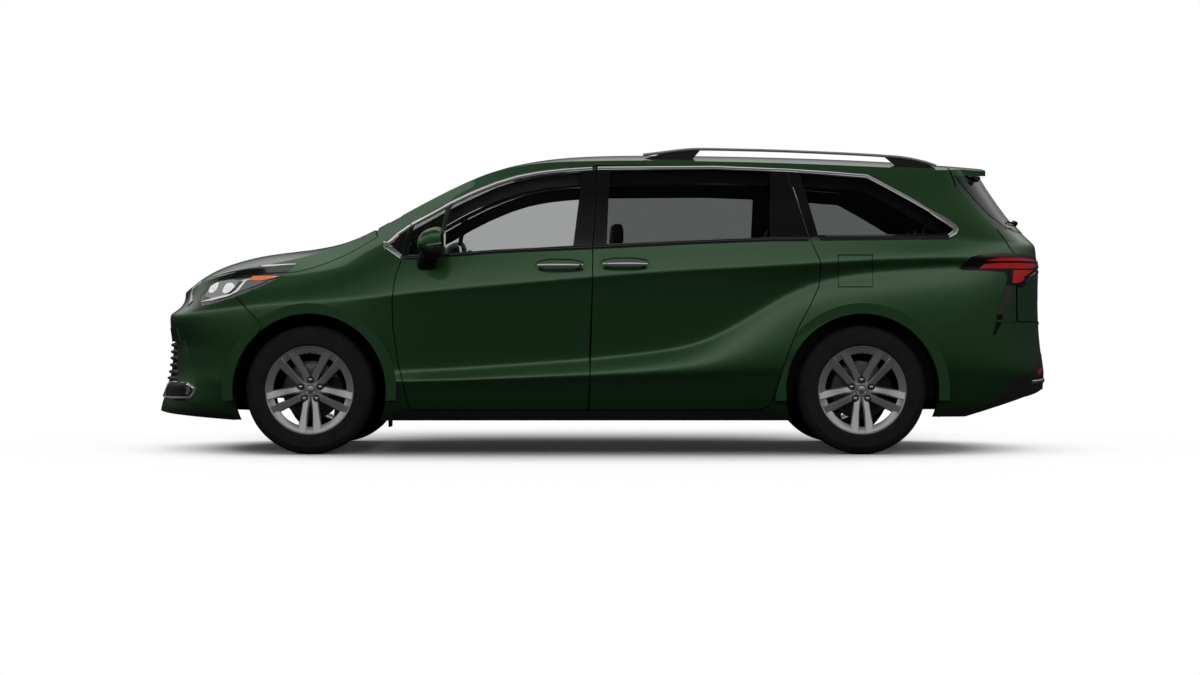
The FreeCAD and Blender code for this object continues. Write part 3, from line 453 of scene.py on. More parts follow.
class Shape:
    """Vertices and faces gathered from several forms into one mesh, each face with its own material."""

    def __init__(self, *forms):
        self.vertices = []
        self.faces = []
        self.kinds = []
        for vertices, faces in forms:
            self.add(vertices, faces)

    def add(self, vertices, faces, kind=0):
        start = len(self.vertices)
        self.vertices.extend(Vector(v) for v in vertices)
        self.faces.extend([start + i for i in face] for face in faces)
        self.kinds.extend([kind] * len(faces))

    def mirror(self):
        """The same shape on the other side of the car."""
        other = Shape()
        other.vertices = [Vector((v.x, -v.y, v.z)) for v in self.vertices]
        other.faces = [list(reversed(face)) for face in self.faces]
        other.kinds = list(self.kinds)
        return other

    def make(self, name, keys, body, smooth=True, bevel=0.0, subdivide=0, angle=35.0):
        """The shape as one named piece that rides on a body; keys name its materials."""
        mesh = new_mesh(name, self.vertices, self.faces)
        for key in keys.split():
            mesh.materials.append(MATERIALS[key])
        mesh.polygons.foreach_set("material_index", self.kinds)
        mesh.polygons.foreach_set("use_smooth", [smooth] * len(mesh.polygons))
        mesh.update()
        made = new_object(name, mesh)
        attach(made, body)
        finish_edges(made, bevel, subdivide, angle)
        return made

    def make_pair(self, name, keys, body, **options):
        """One piece on each side; "SIDE" in the body's name becomes left or right."""
        made = []
        for side, form in (("left", self), ("right", self.mirror())):
            made.append(form.make(f"{name}_{side}", keys, body.replace("SIDE", side), **options))
        return made


def turned_form(profile, centre=(0, 0, 0), axis="Y", steps=48, closed=True):
    """A profile of (radius, distance along the X or Y axis) turned into a ring of faces."""
    vertices, faces = [], []
    for i in range(steps):
        turn = 2 * math.pi * i / steps
        c, s = math.cos(turn), math.sin(turn)
        for radius, along in profile:
            if axis == "Y":
                vertices.append((centre[0] + radius * c, centre[1] + along, centre[2] + radius * s))
            else:
                vertices.append((centre[0] + along, centre[1] + radius * c, centre[2] + radius * s))
    return vertices, ring_faces(len(profile), steps, closed)


def ring_faces(count, steps, closed=True):
    """The faces between steps equal profiles of count points that go once round."""
    faces = []
    for i in range(steps):
        here, there = i * count, (i + 1) % steps * count
        for j in range(count if closed else count - 1):
            k = (j + 1) % count
            faces.append((here + j, here + k, there + k, there + j))
    return faces


def loft(rings, cap=True):
    """Faces through closed rings that all have the same number of points."""
    count = len(rings[0])
    vertices = [p for ring in rings for p in ring]
    faces = []
    for i in range(len(rings) - 1):
        for j in range(count):
            k = (j + 1) % count
            faces.append((i * count + j, i * count + k, (i + 1) * count + k, (i + 1) * count + j))
    if cap:
        faces.append(tuple(reversed(range(count))))
        faces.append(tuple((len(rings) - 1) * count + j for j in range(count)))
    return vertices, faces


def rounded(points, step):
    """A smooth line through the points, sampled about every step."""
    points = [Vector(p) for p in points]
    found = []
    for i in range(len(points) - 1):
        p1, p2 = points[i], points[i + 1]
        p0 = points[i - 1] if i else p1 + (p1 - p2)
        p3 = points[i + 2] if i + 2 < len(points) else p2 + (p2 - p1)
        pieces = max(1, round((p2 - p1).length / step))
        for k in range(pieces):
            t = k / pieces
            found.append(
                0.5 * ((2 * p1) + (p2 - p0) * t + (2 * p0 - 5 * p1 + 4 * p2 - p3) * t ** 2
                       + (3 * p1 - p0 - 3 * p2 + p3) * t ** 3)
            )
    found.append(points[-1])
    return found


def rounded_flat(points, step):
    """The same for a line in the plane."""
    return [(p.x, p.y) for p in rounded([(u, v, 0) for u, v in points], step)]


def split_line(points, step, pieces_of=round):
    """Places along a line of straight stretches, each cut into equal pieces, without its last point."""
    found = []
    for a, b in zip(points, points[1:]):
        pieces = max(1, pieces_of((b - a).length / step))
        found.extend(a.lerp(b, k / pieces) for k in range(pieces))
    return found


def direction_at(line, i):
    """The way a line runs at one of its points."""
    return (line[min(i + 1, len(line) - 1)] - line[max(i - 1, 0)]).normalized()


def tube_form(path, radius, sides=10):
    """A round bar along a path, with closed ends. Its radius may be a rule of the share of its length."""
    path = [Vector(p) for p in path]
    rings = []
    for i, p in enumerate(path):
        ahead = direction_at(path, i)
        side = ahead.cross(Vector((0, 0, 1)))
        side = side.normalized() if side.length > 0.05 else ahead.cross(Vector((0, 1, 0))).normalized()
        over = side.cross(ahead)
        size = radius(i / (len(path) - 1)) if callable(radius) else radius
        turns = (2 * math.pi * k / sides for k in range(sides))
        rings.append([p + side * (size * math.cos(a)) + over * (size * math.sin(a)) for a in turns])
    return loft(rings)


def rounded_outline(corners, radius, steps=5):
    """A polygon in the plane with every corner rounded."""
    found = []
    count = len(corners)
    for i in range(count):
        before, here, after = (Vector(corners[(i + k) % count]) for k in (-1, 0, 1))
        to_before, to_after = (before - here), (after - here)
        reach = min(radius, 0.45 * to_before.length, 0.45 * to_after.length)
        start, end = here + to_before.normalized() * reach, here + to_after.normalized() * reach
        for k in range(steps + 1):
            t = k / steps
            found.append(start * (1 - t) ** 2 + here * 2 * t * (1 - t) + end * t ** 2)
    return found


def box_outline(x, y, half_x, half_y, radius, steps=5):
    """A rectangle with rounded corners about its middle."""
    corners = [(x + i * half_x, y + j * half_y) for i, j in ((-1, -1), (1, -1), (1, 1), (-1, 1))]
    return rounded_outline(corners, radius, steps)


# The skin: where the outside of the car is, seen from one side

FACES = {
    "side": (Vector((0, -1, 0)), lambda u, v: Vector((u, 3.0, v))),
    "front": (Vector((-1, 0, 0)), lambda u, v: Vector((5.0, u, v))),
    "rear": (Vector((1, 0, 0)), lambda u, v: Vector((-5.0, u, v))),
    "top": (Vector((0, 0, -1)), lambda u, v: Vector((u, v, 4.0))),
}
SKIN_NODES = (
    "side_frame_left", "side_frame_right", "fender_left", "fender_right", "sliding_door_left",
    "sliding_door_right", "front_door_left", "front_door_right", "hood", "roof_panel", "front_bumper",
    "rear_bumper", "liftgate", "front_grille", "front_lip", "headlamps", "tail_lamps", "cowl", "spoiler",
)
GLASS_NODES = ("windshield", "front_glass_left", "front_glass_right", "side_glass", "liftgate_glass")
GLASS_DEPTH = 0.004
# How far to both sides of a place the skin is felt for across a gap, and for its slope
GAP_REACHES = (0.006, 0.012)
SLOPE_REACH = 0.012
STEEPEST = 1.5


def gather_skin(glass_lift):
    """One tree of the outside panels, with the glass brought up flush with them."""
    vertices, faces = [], []
    for name in SKIN_NODES + GLASS_NODES:
        mesh = NODES[name].data
        lift = glass_lift if name in GLASS_NODES else 0.0
        start = len(vertices)
        for vertex in mesh.vertices:
            vertices.append(vertex.co + vertex.normal * lift)
        faces.extend([start + i for i in polygon.vertices] for polygon in mesh.polygons)
    return BVHTree.FromPolygons(vertices, faces)


SKIN = gather_skin(GLASS_DEPTH)


def depth(face, u, v):
    """How far out the skin is at one place, or None."""
    direction, start = FACES[face]
    found = SKIN.ray_cast(start(u, v), direction)[0]
    return None if found is None else -found.dot(direction)


def skin_depth(face, u, v):
    """The same, bridging the gaps between panels by the mean of places on both sides of them."""
    values = []
    centre = depth(face, u, v)
    if centre is not None:
        values.append(centre)
    for reach in GAP_REACHES:
        for du, dv in ((1, 0), (0, 1), (1, 1), (1, -1)):
            a = depth(face, u + reach * du, v + reach * dv)
            b = depth(face, u - reach * du, v - reach * dv)
            if a is not None and b is not None:
                values.append((a + b) / 2)
    return max(values) if values else None


def on_skin(face, u, v, lift=0.0):
    """The point of the skin at (u, v), raised along its normal."""
    direction, start = FACES[face]
    flat = start(u, v)
    flat -= direction * flat.dot(direction)
    here = skin_depth(face, u, v)
    if here is None:
        return None
    slopes = []
    for du, dv in ((SLOPE_REACH, 0), (0, SLOPE_REACH)):
        a, b = skin_depth(face, u + du, v + dv), skin_depth(face, u - du, v - dv)
        slope = 0.0 if a is None or b is None else (a - b) / (2 * SLOPE_REACH)
        slopes.append(max(-STEEPEST, min(STEEPEST, slope)))
    u_axis, v_axis = start(u + 1, v) - start(u, v), start(u, v + 1) - start(u, v)
    normal = (-direction - u_axis * slopes[0] - v_axis * slopes[1]).normalized()
    return flat - direction * here + normal * lift


def inside(point, outline):
    """Whether a point of the plane lies within the outline."""
    odd = False
    for a, b in zip(outline, outline[1:] + outline[:1]):
        if (a.y > point.y) != (b.y > point.y) and point.x < (b.x - a.x) * (point.y - a.y) / (b.y - a.y) + a.x:
            odd = not odd
    return odd


def grid_inside(outline, edge, step):
    """Places of a square grid within an outline that keep clear of its edge."""
    low_u, high_u = min(p.x for p in edge), max(p.x for p in edge)
    low_v, high_v = min(p.y for p in edge), max(p.y for p in edge)
    found = []
    for i in range(1, int((high_u - low_u) / step) + 1):
        for j in range(1, int((high_v - low_v) / step) + 1):
            p = Vector((low_u + i * step, low_v + j * step))
            if inside(p, outline) and min((p - q).length for q in edge) > 0.45 * step:
                found.append(p)
    return found


def patch_form(face, outline, lift=0.001, step=0.02, rim=0.003):
    """A sheet that lies on the skin inside an outline, with its edge turned down."""
    outline = [Vector(p) for p in outline]
    edge = split_line(outline + outline[:1], step, math.ceil)
    count = len(edge)
    points, _, triangles, *_ = delaunay_2d_cdt(
        edge + grid_inside(outline, edge, step), [(i, (i + 1) % count) for i in range(count)],
        [list(range(count))], 1, 1e-7,
    )
    vertices = [on_skin(face, p.x, p.y, lift) for p in points]
    fallback = next(v for v in vertices if v is not None)
    vertices = [v if v is not None else fallback for v in vertices]
    direction = FACES[face][0]
    faces = []
    for triangle in triangles:
        a, b, c = (vertices[i] for i in triangle)
        turned = (b - a).cross(c - a).dot(direction) > 0
        faces.append(tuple(reversed(triangle)) if turned else tuple(triangle))
    start = len(vertices)
    lowered = [on_skin(face, p.x, p.y, lift - rim) for p in edge]
    vertices.extend(v if v is not None else fallback for v in lowered)
    for i in range(count):
        j = (i + 1) % count
        faces.append((i, start + i, start + j, j))
    return vertices, faces


STRIP_PROFILE = ((-0.5, -0.0015), (-0.5, 0.6), (-0.3, 1.0), (0.3, 1.0), (0.5, 0.6), (0.5, -0.0015))


def ribbon_form(face, path, width, height, step=0.012, profile=STRIP_PROFILE):
    """A strip that follows a line on the skin. Profile heights of 0 to 1 are shares of its height."""
    path = [Vector(p) for p in path]
    line = split_line(path, step) + path[-1:]
    rings = []
    for i, p in enumerate(line):
        before = (p - line[i - 1]).normalized() if i else None
        after = (line[i + 1] - p).normalized() if i + 1 < len(line) else None
        ahead = ((before or after) + (after or before)).normalized()
        across = Vector((-ahead.y, ahead.x))
        spread = 1.0 if before is None or after is None else 1.0 / max(0.45, ahead.dot(after))
        size = width(i / (len(line) - 1)) if callable(width) else width
        ring = []
        for share, rise in profile:
            q = p + across * (share * size * spread)
            ring.append(on_skin(face, q.x, q.y, rise * height if rise >= 0 else rise))
        if all(q is not None for q in ring):
            rings.append(ring)
    return loft(rings)


# Outlines seen from the side, in metres, as (x, z)

WINDOW_LINE = [
    (1.13, 1.086), (1.2255, 1.1545), (1.2275, 1.166), (1.153, 1.23), (1.075, 1.286), (0.961, 1.347),
    (0.852, 1.407), (0.734, 1.464), (0.598, 1.519), (0.478, 1.556), (0.351, 1.58), (0.222, 1.594),
    (0.05, 1.606), (-0.303, 1.609), (-0.625, 1.611), (-1.032, 1.595), (-1.267, 1.579), (-1.48, 1.561),
    (-1.604, 1.493), (-1.715, 1.43), (-1.825, 1.365), (-1.914, 1.317), (-1.969, 1.276), (-1.981, 1.253),
    (-1.966, 1.224), (-1.925, 1.203),
]
BELT_LINE = [
    (1.109, 1.092), (0.855, 1.109), (0.601, 1.128), (0.389, 1.138), (0.055, 1.151), (-0.511, 1.18),
    (-0.928, 1.196), (-1.14, 1.197),
]
# Widths and heights of the strips along the windows, and how far inside the window line they run
WINDOW_SEAL = (0.0235, 0.0012)
WINDOW_STRIP = (0.016, 0.0038)
BELT_STRIP = (0.015, 0.0045)
BELT_SEAL = (0.008, 0.002)
BELT_SEAL_DROP = 0.01
STRIP_INSET = 0.0085
WIDE_STRIP_INSET = 0.016
# Where the trim of the front door ends, at its front edge and at the B-pillar
DOOR_TRIM_FRONT = 1.072
DOOR_TRIM_REAR = 0.0605


def moved_in(line, distance):
    """A line moved to its right as it runs towards the tail, which is into the window."""
    line = [Vector(p) for p in line]
    found = []
    for i, p in enumerate(line):
        before = (p - line[i - 1]).normalized() if i else (line[1] - p).normalized()
        after = (line[i + 1] - p).normalized() if i + 1 < len(line) else before
        ahead = (before + after).normalized()
        across = Vector((-ahead.y, ahead.x))
        found.append(p + across * distance / max(0.5, ahead.dot(after)))
    return found


def cut_line(line, low, high):
    """The stretch of a line whose x lies between two values, ended exactly at them."""
    line = [Vector(p) for p in line]
    found = [line[0]] if low <= line[0].x <= high else []
    for a, b in zip(line, line[1:]):
        for limit in (high, low):
            if (a.x - limit) * (b.x - limit) < 0:
                found.append(a.lerp(b, (limit - a.x) / (b.x - a.x)))
        if low <= b.x <= high:
            found.append(b)
    return found


def swelling(t):
    """A strip width that grows towards the middle of its length."""
    return 0.008 + 0.02 * math.sin(math.pi * t)


def window_trim():
    """A bright strip on a dark seal round the windows, wider at both ends, and the belt line's strips."""
    strip = moved_in(WINDOW_LINE, STRIP_INSET)
    front_line = strip[:5]
    front_line[-1] = front_line[-2].lerp(front_line[-1], 0.93)
    for name, line, body in (
        ("front", front_line, BODY),
        ("door", cut_line(strip[4:14], DOOR_TRIM_REAR, DOOR_TRIM_FRONT), DOOR),
        ("rear", cut_line(strip[12:], -3.0, 0.033), BODY),
    ):
        under = Shape(ribbon_form("side", line, *WINDOW_SEAL))
        over = Shape(ribbon_form("side", line, *WINDOW_STRIP))
        under.make_pair(f"window_seal_{name}", "black", body)
        over.make_pair(f"window_strip_{name}", "chrome", body)
    inner = moved_in(WINDOW_LINE, WIDE_STRIP_INSET)
    for name, line in (("apex", inner[:4]), ("corner", inner[-6:])):
        wide = Shape(ribbon_form("side", rounded_flat(line, 0.02), swelling, 0.0042))
        wide.make_pair(f"window_strip_{name}", "chrome", BODY)
    for name, low, high, body in (("door", DOOR_TRIM_REAR, 1.105, DOOR), ("slider", -1.14, 0.054, BODY)):
        line = cut_line(BELT_LINE, low, high)
        lower_line = [p - Vector((0, BELT_SEAL_DROP)) for p in line]
        belt = Shape(ribbon_form("side", line, *BELT_STRIP))
        under = Shape(ribbon_form("side", lower_line, *BELT_SEAL))
        belt.make_pair(f"belt_strip_{name}", "piano", body)
        under.make_pair(f"belt_seal_{name}", "black", body)


# Gloss black covers between the windows, as outlines seen from the side
COVERS = (
    ("b_front", DOOR, [(0.116, 1.578), (0.0395, 1.588), (0.0462, 1.438), (0.062, 1.152), (0.168, 1.15)]),
    ("b_rear", BODY, [(0.0322, 1.59), (-0.038, 1.59), (-0.018, 1.165), (0.0545, 1.156), (0.039, 1.438)]),
    ("c_front", BODY, [(-0.935, 1.588), (-1.0265, 1.586), (-1.1425, 1.2), (-0.925, 1.2)]),
    ("c_rear", BODY, [(-1.0375, 1.579), (-1.099, 1.577), (-1.193, 1.209), (-1.146, 1.206)]),
    ("quarter_sill", BODY, [(-1.19, 1.217), (-1.93, 1.225), (-1.925, 1.209), (-1.19, 1.203)]),
    ("door_edge", DOOR, [(1.0575, 1.273), (1.0815, 1.265), (1.1135, 1.101), (1.083, 1.103)]),
    ("sail", BODY, [(1.213, 1.16), (1.15, 1.216), (1.09, 1.257), (1.1205, 1.0985)]),
)
SAIL_LOUVRES = (((1.19, 1.165), (1.128, 1.19)), ((1.176, 1.146), (1.128, 1.166)))
WINDOW_DIVIDER = [(0.846, 1.396), (0.857, 1.38), (0.884, 1.262), (0.902, 1.118)]
SILL_OUTLINE = [(1.17, 0.243), (-0.96, 0.243), (-0.975, 0.192), (1.185, 0.192)]


def pillar_covers():
    for name, body, outline in COVERS:
        Shape(patch_form("side", outline, 0.0012, step=0.03)).make_pair(f"cover_{name}", "piano", body)
    louvres = Shape(*(ribbon_form("side", line, 0.006, 0.005, step=0.02) for line in SAIL_LOUVRES))
    louvres.make_pair("sail_louvres", "black", BODY)
    divider = Shape(ribbon_form("side", WINDOW_DIVIDER, 0.016, 0.003, step=0.02))
    divider.make_pair("window_divider", "black", DOOR)


def sills():
    Shape(patch_form("side", SILL_OUTLINE, 0.0025, step=0.03)).make_pair("sill_trim", "black", BODY)


window_trim()
pillar_covers()
sills()


# Wheels

FRONT_AXLE, REAR_AXLE, HALF_TRACK, AXLE_HEIGHT = 1.6265, -1.4335, 0.86, 0.357
TYRE_HALF = (
    (0.2375, 0.097), (0.24, 0.104), (0.246, 0.1085), (0.256, 0.112), (0.258, 0.1128), (0.2605, 0.1128),
    (0.262, 0.112), (0.278, 0.1135), (0.295, 0.1135), (0.31, 0.112), (0.3125, 0.1124), (0.316, 0.1118),
    (0.318, 0.1102), (0.33, 0.105), (0.3385, 0.1), (0.346, 0.094), (0.351, 0.087), (0.354, 0.078),
    (0.3552, 0.07), (0.3558, 0.064), (0.349, 0.063), (0.349, 0.055), (0.3562, 0.054), (0.3568, 0.03),
    (0.3495, 0.0285), (0.3495, 0.0195), (0.357, 0.018),
)
TREAD_PITCHES = 76
# Where the tyre's rows of slots lie, outermost first: out from the middle further than, radius over,
# slot depth, one slot in every so many steps, and its place among them; -1 takes in the whole middle
TREAD_ROWS = ((0.065, 0.338, 0.0034, 4, 0), (0.029, 0.3555, 0.004, 8, 2), (-1.0, 0.3565, 0.004, 8, 6))


def slot_depth(radius, y, step):
    """How deep the tread is cut at one place of the profile and one step round the tyre."""
    for beyond, over, depth_cut, every, place in TREAD_ROWS:
        if abs(y) > beyond and radius > over:
            return depth_cut if step % every == place else 0.0
    return 0.0


def tyre_form():
    """A tyre about the Y axis through the origin, with grooves round it and slots across its shoulders."""
    profile = list(TYRE_HALF) + [(r, -y) for r, y in reversed(TYRE_HALF)]
    steps = TREAD_PITCHES * 4
    vertices = []
    for i in range(steps):
        turn = 2 * math.pi * i / steps
        for radius, y in profile:
            r = radius - slot_depth(radius, y, i)
            vertices.append((r * math.cos(turn), y, r * math.sin(turn)))
    return vertices, ring_faces(len(profile), steps)


# A spoke blade from the hub to the rim: distance from the hub's middle, then sideways place and height
# of its inner edge, ridge, outer crease and outer edge
BLADE = (
    (0.04, (0.003, 0.053), (0.01, 0.058), (0.027, 0.057), (0.034, 0.049)),
    (0.075, (0.004, 0.055), (0.013, 0.066), (0.04, 0.061), (0.046, 0.049)),
    (0.105, (0.0085, 0.057), (0.017, 0.074), (0.044, 0.067), (0.05, 0.053)),
    (0.136, (0.0115, 0.064), (0.019, 0.082), (0.049, 0.074), (0.0555, 0.058)),
    (0.175, (0.013, 0.072), (0.02, 0.091), (0.056, 0.083), (0.062, 0.066)),
    (0.212, (0.0142, 0.083), (0.021, 0.099), (0.063, 0.0925), (0.068, 0.079)),
    (0.2415, (0.015, 0.097), (0.022, 0.1045), (0.068, 0.101), (0.0725, 0.096)),
)
BLADE_DEPTH = 0.026
SPOKES = 5
NUT_CIRCLE = 0.05715
# Profiles of the wheel's turned parts, as (radius, place along the axle)
BARREL = (
    (0.237, 0.096), (0.2375, 0.1045), (0.24, 0.107), (0.2465, 0.1075), (0.248, 0.106), (0.2475, 0.103),
    (0.244, 0.1), (0.24, 0.0985), (0.23, 0.0965), (0.208, 0.09), (0.2035, 0.087), (0.203, 0.082),
    (0.213, 0.068), (0.22, 0.05), (0.222, -0.09), (0.232, -0.102), (0.245, -0.107), (0.238, -0.098),
    (0.229, -0.086), (0.227, 0.03), (0.229, 0.085),
)
HUB = (
    (0.0005, 0.0), (0.066, 0.0), (0.069, 0.03), (0.064, 0.045), (0.052, 0.0535), (0.032, 0.056),
    (0.0285, 0.056), (0.0275, 0.052), (0.0005, 0.052),
)
BOSS = ((0.0125, 0.04), (0.0185, 0.04), (0.0195, 0.0555), (0.0175, 0.0605), (0.015, 0.0605), (0.0145, 0.046))
BOSS_FLOOR = ((0.0005, 0.0455), (0.0148, 0.0455))
NUT = ((0.0115, 0.046), (0.0115, 0.06), (0.0105, 0.064), (0.0075, 0.0665), (0.003, 0.0677), (0.0004, 0.068))
NUT_SEAT = ((0.0198, 0.054), (0.0198, 0.0608), (0.0188, 0.0614), (0.0004, 0.0614))
CAP = (
    (0.027, 0.054), (0.0268, 0.0585), (0.0255, 0.0605), (0.0235, 0.0598), (0.0225, 0.0592), (0.015, 0.0606),
    (0.0004, 0.0612),
)
VALVE = [(0, 0.09, 0.21), (0, 0.094, 0.206), (0, 0.103, 0.1985)]
DISC = (
    (0.075, -0.02), (0.075, -0.012), (0.16, -0.012), (0.164, -0.014), (0.164, -0.04), (0.075, -0.04),
)


def blade_form(side):
    rings = []
    for reach, *edges in BLADE:
        (inner_x, inner_y), (outer_x, outer_y) = edges[0], edges[-1]
        section = edges + [(outer_x - 0.006, outer_y - BLADE_DEPTH), (inner_x + 0.004, inner_y - BLADE_DEPTH)]
        ring = [Vector((side * x, y, reach)) for x, y in section]
        rings.append(ring if side > 0 else ring[::-1])
    return loft(rings)


def turned_about(form, angle):
    vertices, faces = form
    turn = Matrix.Rotation(angle, 4, "Y")
    return [turn @ Vector(v) for v in vertices], faces


def nut_places():
    for i in range(SPOKES):
        angle = math.radians(90 + 360 / SPOKES * i)
        yield NUT_CIRCLE * math.cos(angle), 0, NUT_CIRCLE * math.sin(angle)


def outward(profile, centre=(0, 0, 0), steps=48, closed=True):
    """A turned part of the wheel, its profile taken backwards so that its faces look outwards."""
    return turned_form(profile[::-1], centre, steps=steps, closed=closed)


def rim_shape():
    """The wheel's face and barrel about the Y axis, outboard towards +Y."""
    rim = Shape(outward(BARREL, steps=120), outward(HUB, steps=60))
    for i in range(SPOKES):
        for side in (1, -1):
            rim.add(*turned_about(blade_form(side), math.radians(180 + 360 / SPOKES * i)))
    for place in nut_places():
        rim.add(*outward(BOSS, place, 24))
        rim.add(*outward(BOSS_FLOOR, place, 24, closed=False), kind=1)
    return rim


def nuts_shape():
    """Five wheel nuts, the plain centre cap and the valve."""
    nuts = Shape()
    for place in nut_places():
        nuts.add(*outward(NUT, place, 18, closed=False))
        nuts.add(*outward(NUT_SEAT, place, 28, closed=False), kind=2)
    nuts.add(*outward(CAP, closed=False), kind=1)
    nuts.add(*tube_form(VALVE, 0.0038, 10), kind=2)
    return nuts


def placed_shape(shape, side, x):
    """A shape made about the origin, set on its hub; on the right it faces the other way."""
    placed = Shape()
    placed.faces, placed.kinds = [list(f) for f in shape.faces], list(shape.kinds)
    for v in shape.vertices:
        placed.vertices.append(Vector((x + v.x, HALF_TRACK + v.y, AXLE_HEIGHT + v.z)))
    return placed if side > 0 else placed.mirror()


def wheels():
    tyre, rim, nuts, disc = Shape(tyre_form()), rim_shape(), nuts_shape(), Shape(outward(DISC, steps=80))
    for end, x in (("front", FRONT_AXLE), ("rear", REAR_AXLE)):
        for side, sign in SIDES:
            label = f"{end}_{side}"
            body = f"wheel_{label}"
            rubber = placed_shape(tyre, sign, x).make(f"tread_{label}", "rubber", body, angle=28)
            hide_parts(f"tyre_{label}")
            face = placed_shape(rim, sign, x)
            face = face.make(f"rim_face_{label}", "alloy black", body, bevel=0.0012, angle=22)
            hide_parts(f"rim_{label}")
            placed_shape(nuts, sign, x).make(f"nuts_{label}", "chrome silver black", body, angle=30)
            placed_shape(disc, sign, x).make(f"disc_{label}", "iron", body, angle=30)


# Fittings

def superellipse(centre, along_axis, half_length, half_height, power, steps=28):
    """A ring in the XZ plane at one distance out."""
    ring = []
    for i in range(steps):
        a = 2 * math.pi * i / steps
        c, s = math.cos(a), math.sin(a)
        x = math.copysign(abs(c) ** (2 / power), c) * half_length
        z = math.copysign(abs(s) ** (2 / power), s) * half_height
        ring.append(Vector((centre[0] + x, along_axis, centre[1] + z)))
    return ring


# The mirror's shell from its inner to its outer end: place out, half length and half height
MIRROR_STATIONS = (
    (1.006, 0.046, 0.046), (1.012, 0.06, 0.062), (1.03, 0.07, 0.076), (1.07, 0.077, 0.084),
    (1.12, 0.078, 0.086), (1.16, 0.074, 0.081), (1.18, 0.065, 0.071), (1.191, 0.052, 0.056),
    (1.1955, 0.03, 0.032),
)
MIRROR_HEIGHT = 1.166
MIRROR_STRIP = (
    (0.884, 1.186), (0.925, 1.1955), (0.965, 1.19), (1.0, 1.165), (1.015, 1.11), (1.01, 1.05),
    (0.996, 1.018),
)
MIRROR_GLASS_BACK = [(1.022, 1.142), (1.18, 1.148), (1.186, 1.222), (1.026, 1.232)]
MIRROR_GLASS_FRONT = [(1.025, 1.145), (1.177, 1.151), (1.183, 1.219), (1.029, 1.229)]


def mirror_point(p):
    """A point of a plain shell moved so that its rear is flat and its top and underside slope."""
    rear = 0.872 + 0.06 * (p.y - 1.1)
    slope = 0.3 if p.z > MIRROR_HEIGHT else -0.22
    return Vector((max(p.x, rear), p.y, p.z - slope * (p.x - 0.94)))


def mirror_shell():
    """A painted cap over a dark lower shell."""
    rings = []
    for y, length, height in MIRROR_STATIONS:
        ring = superellipse((0.94 + 0.1 * (y - 1.1), MIRROR_HEIGHT), y, length, height, 2.5)
        rings.append([mirror_point(p) for p in ring])
    shell = Shape(loft(rings))
    for i, face in enumerate(shell.faces):
        middle = sum((shell.vertices[j] for j in face), Vector()) / len(face)
        low = 1.152 - 0.1 * (middle.x - 0.938)
        shell.kinds[i] = 1 if middle.z < low or len(face) > 4 and middle.y < 1.02 else 0
    shell.make_pair("mirror_shell", "paint black", DOOR, subdivide=1)


def mirrors():
    """The shell, a lamp strip round it, the glass in its rear face and the foot."""
    mirror_shell()
    path = [Vector((x, y, 1.154 - 0.16 * (x - 0.938))) for x, y in MIRROR_STRIP]
    Shape(tube_form(rounded(path, 0.012), 0.0042)).make_pair("mirror_strip", "chrome", DOOR)
    back = [Vector((0.8715, p.x, p.y)) for p in rounded_outline(MIRROR_GLASS_BACK, 0.026)]
    front = [Vector((0.869, p.x, p.y)) for p in rounded_outline(MIRROR_GLASS_FRONT, 0.024)]
    Shape(loft([front, back])).make_pair("mirror_glass", "mirror", DOOR)
    rings = []
    for t in (0.0, 0.25, 0.5, 0.75, 1.0):
        x, y, z = 0.985 - 0.03 * t, 0.925 + 0.125 * t, 1.058 + 0.062 * t ** 1.4
        rings.append(superellipse((x, z), y, 0.058 - 0.006 * t, 0.046 - 0.008 * t, 3.0, 20))
    made = Shape(loft(rings)).make_pair("mirror_foot", "black", DOOR, subdivide=1)
    for (side, _), piece in zip(SIDES, made):
        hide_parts(f"door_fittings_{side}")


# Each handle: its front and rear end, its height, its body, and the place of its round button
HANDLES = (("front", 0.366, 0.112, 1.046, DOOR, 0.128), ("slider", 0.004, -0.244, 1.053, BODY, -0.02))
HANDLE_OUT = 0.999
BUTTON = ((0.0075, 0.0), (0.0075, 0.0035), (0.006, 0.0045), (0.0004, 0.0045))
SLIDE_RAIL = [(-1.2, 1.1965), (-1.5, 1.1985), (-1.925, 1.2035)]


def lever_form(x0, x1, z):
    """A bowed pull handle that stands on two feet."""
    rings = []
    steps = 14
    for i in range(steps + 1):
        t = i / steps
        bow = math.sin(math.pi * t) ** 0.5
        x = x0 + (x1 - x0) * t
        y = HANDLE_OUT + 0.0065 * bow
        ring = superellipse((0, 0), 0, 0.0085 + 0.0055 * bow, 0.0045 + 0.0025 * bow, 2.6, 16)
        rings.append([Vector((x, y + p.z, z + p.x)) for p in ring])
    return loft(rings)


def handles():
    for name, x0, x1, z, body, button in HANDLES:
        made = Shape(lever_form(x0, x1, z)).make_pair(f"handle_{name}", "chrome", body)
        fitting = Shape()
        for x in (x0 - 0.02, x1 + 0.022):
            foot = box_outline(x, z, 0.012, 0.009, 0.004, 3)
            fitting.add(*loft([[Vector((p.x, y, p.y)) for p in foot] for y in (0.962, 0.998)]))
        fitting.add(*turned_form(BUTTON, (button, 1.0035, z), steps=24, closed=False))
        fitting.make_pair(f"handle_feet_{name}", "black", body)
        if name == "slider":
            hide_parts("slide_fittings")
    Shape(ribbon_form("side", SLIDE_RAIL, 0.022, 0.002, step=0.05)).make_pair("slide_rail", "black", BODY)


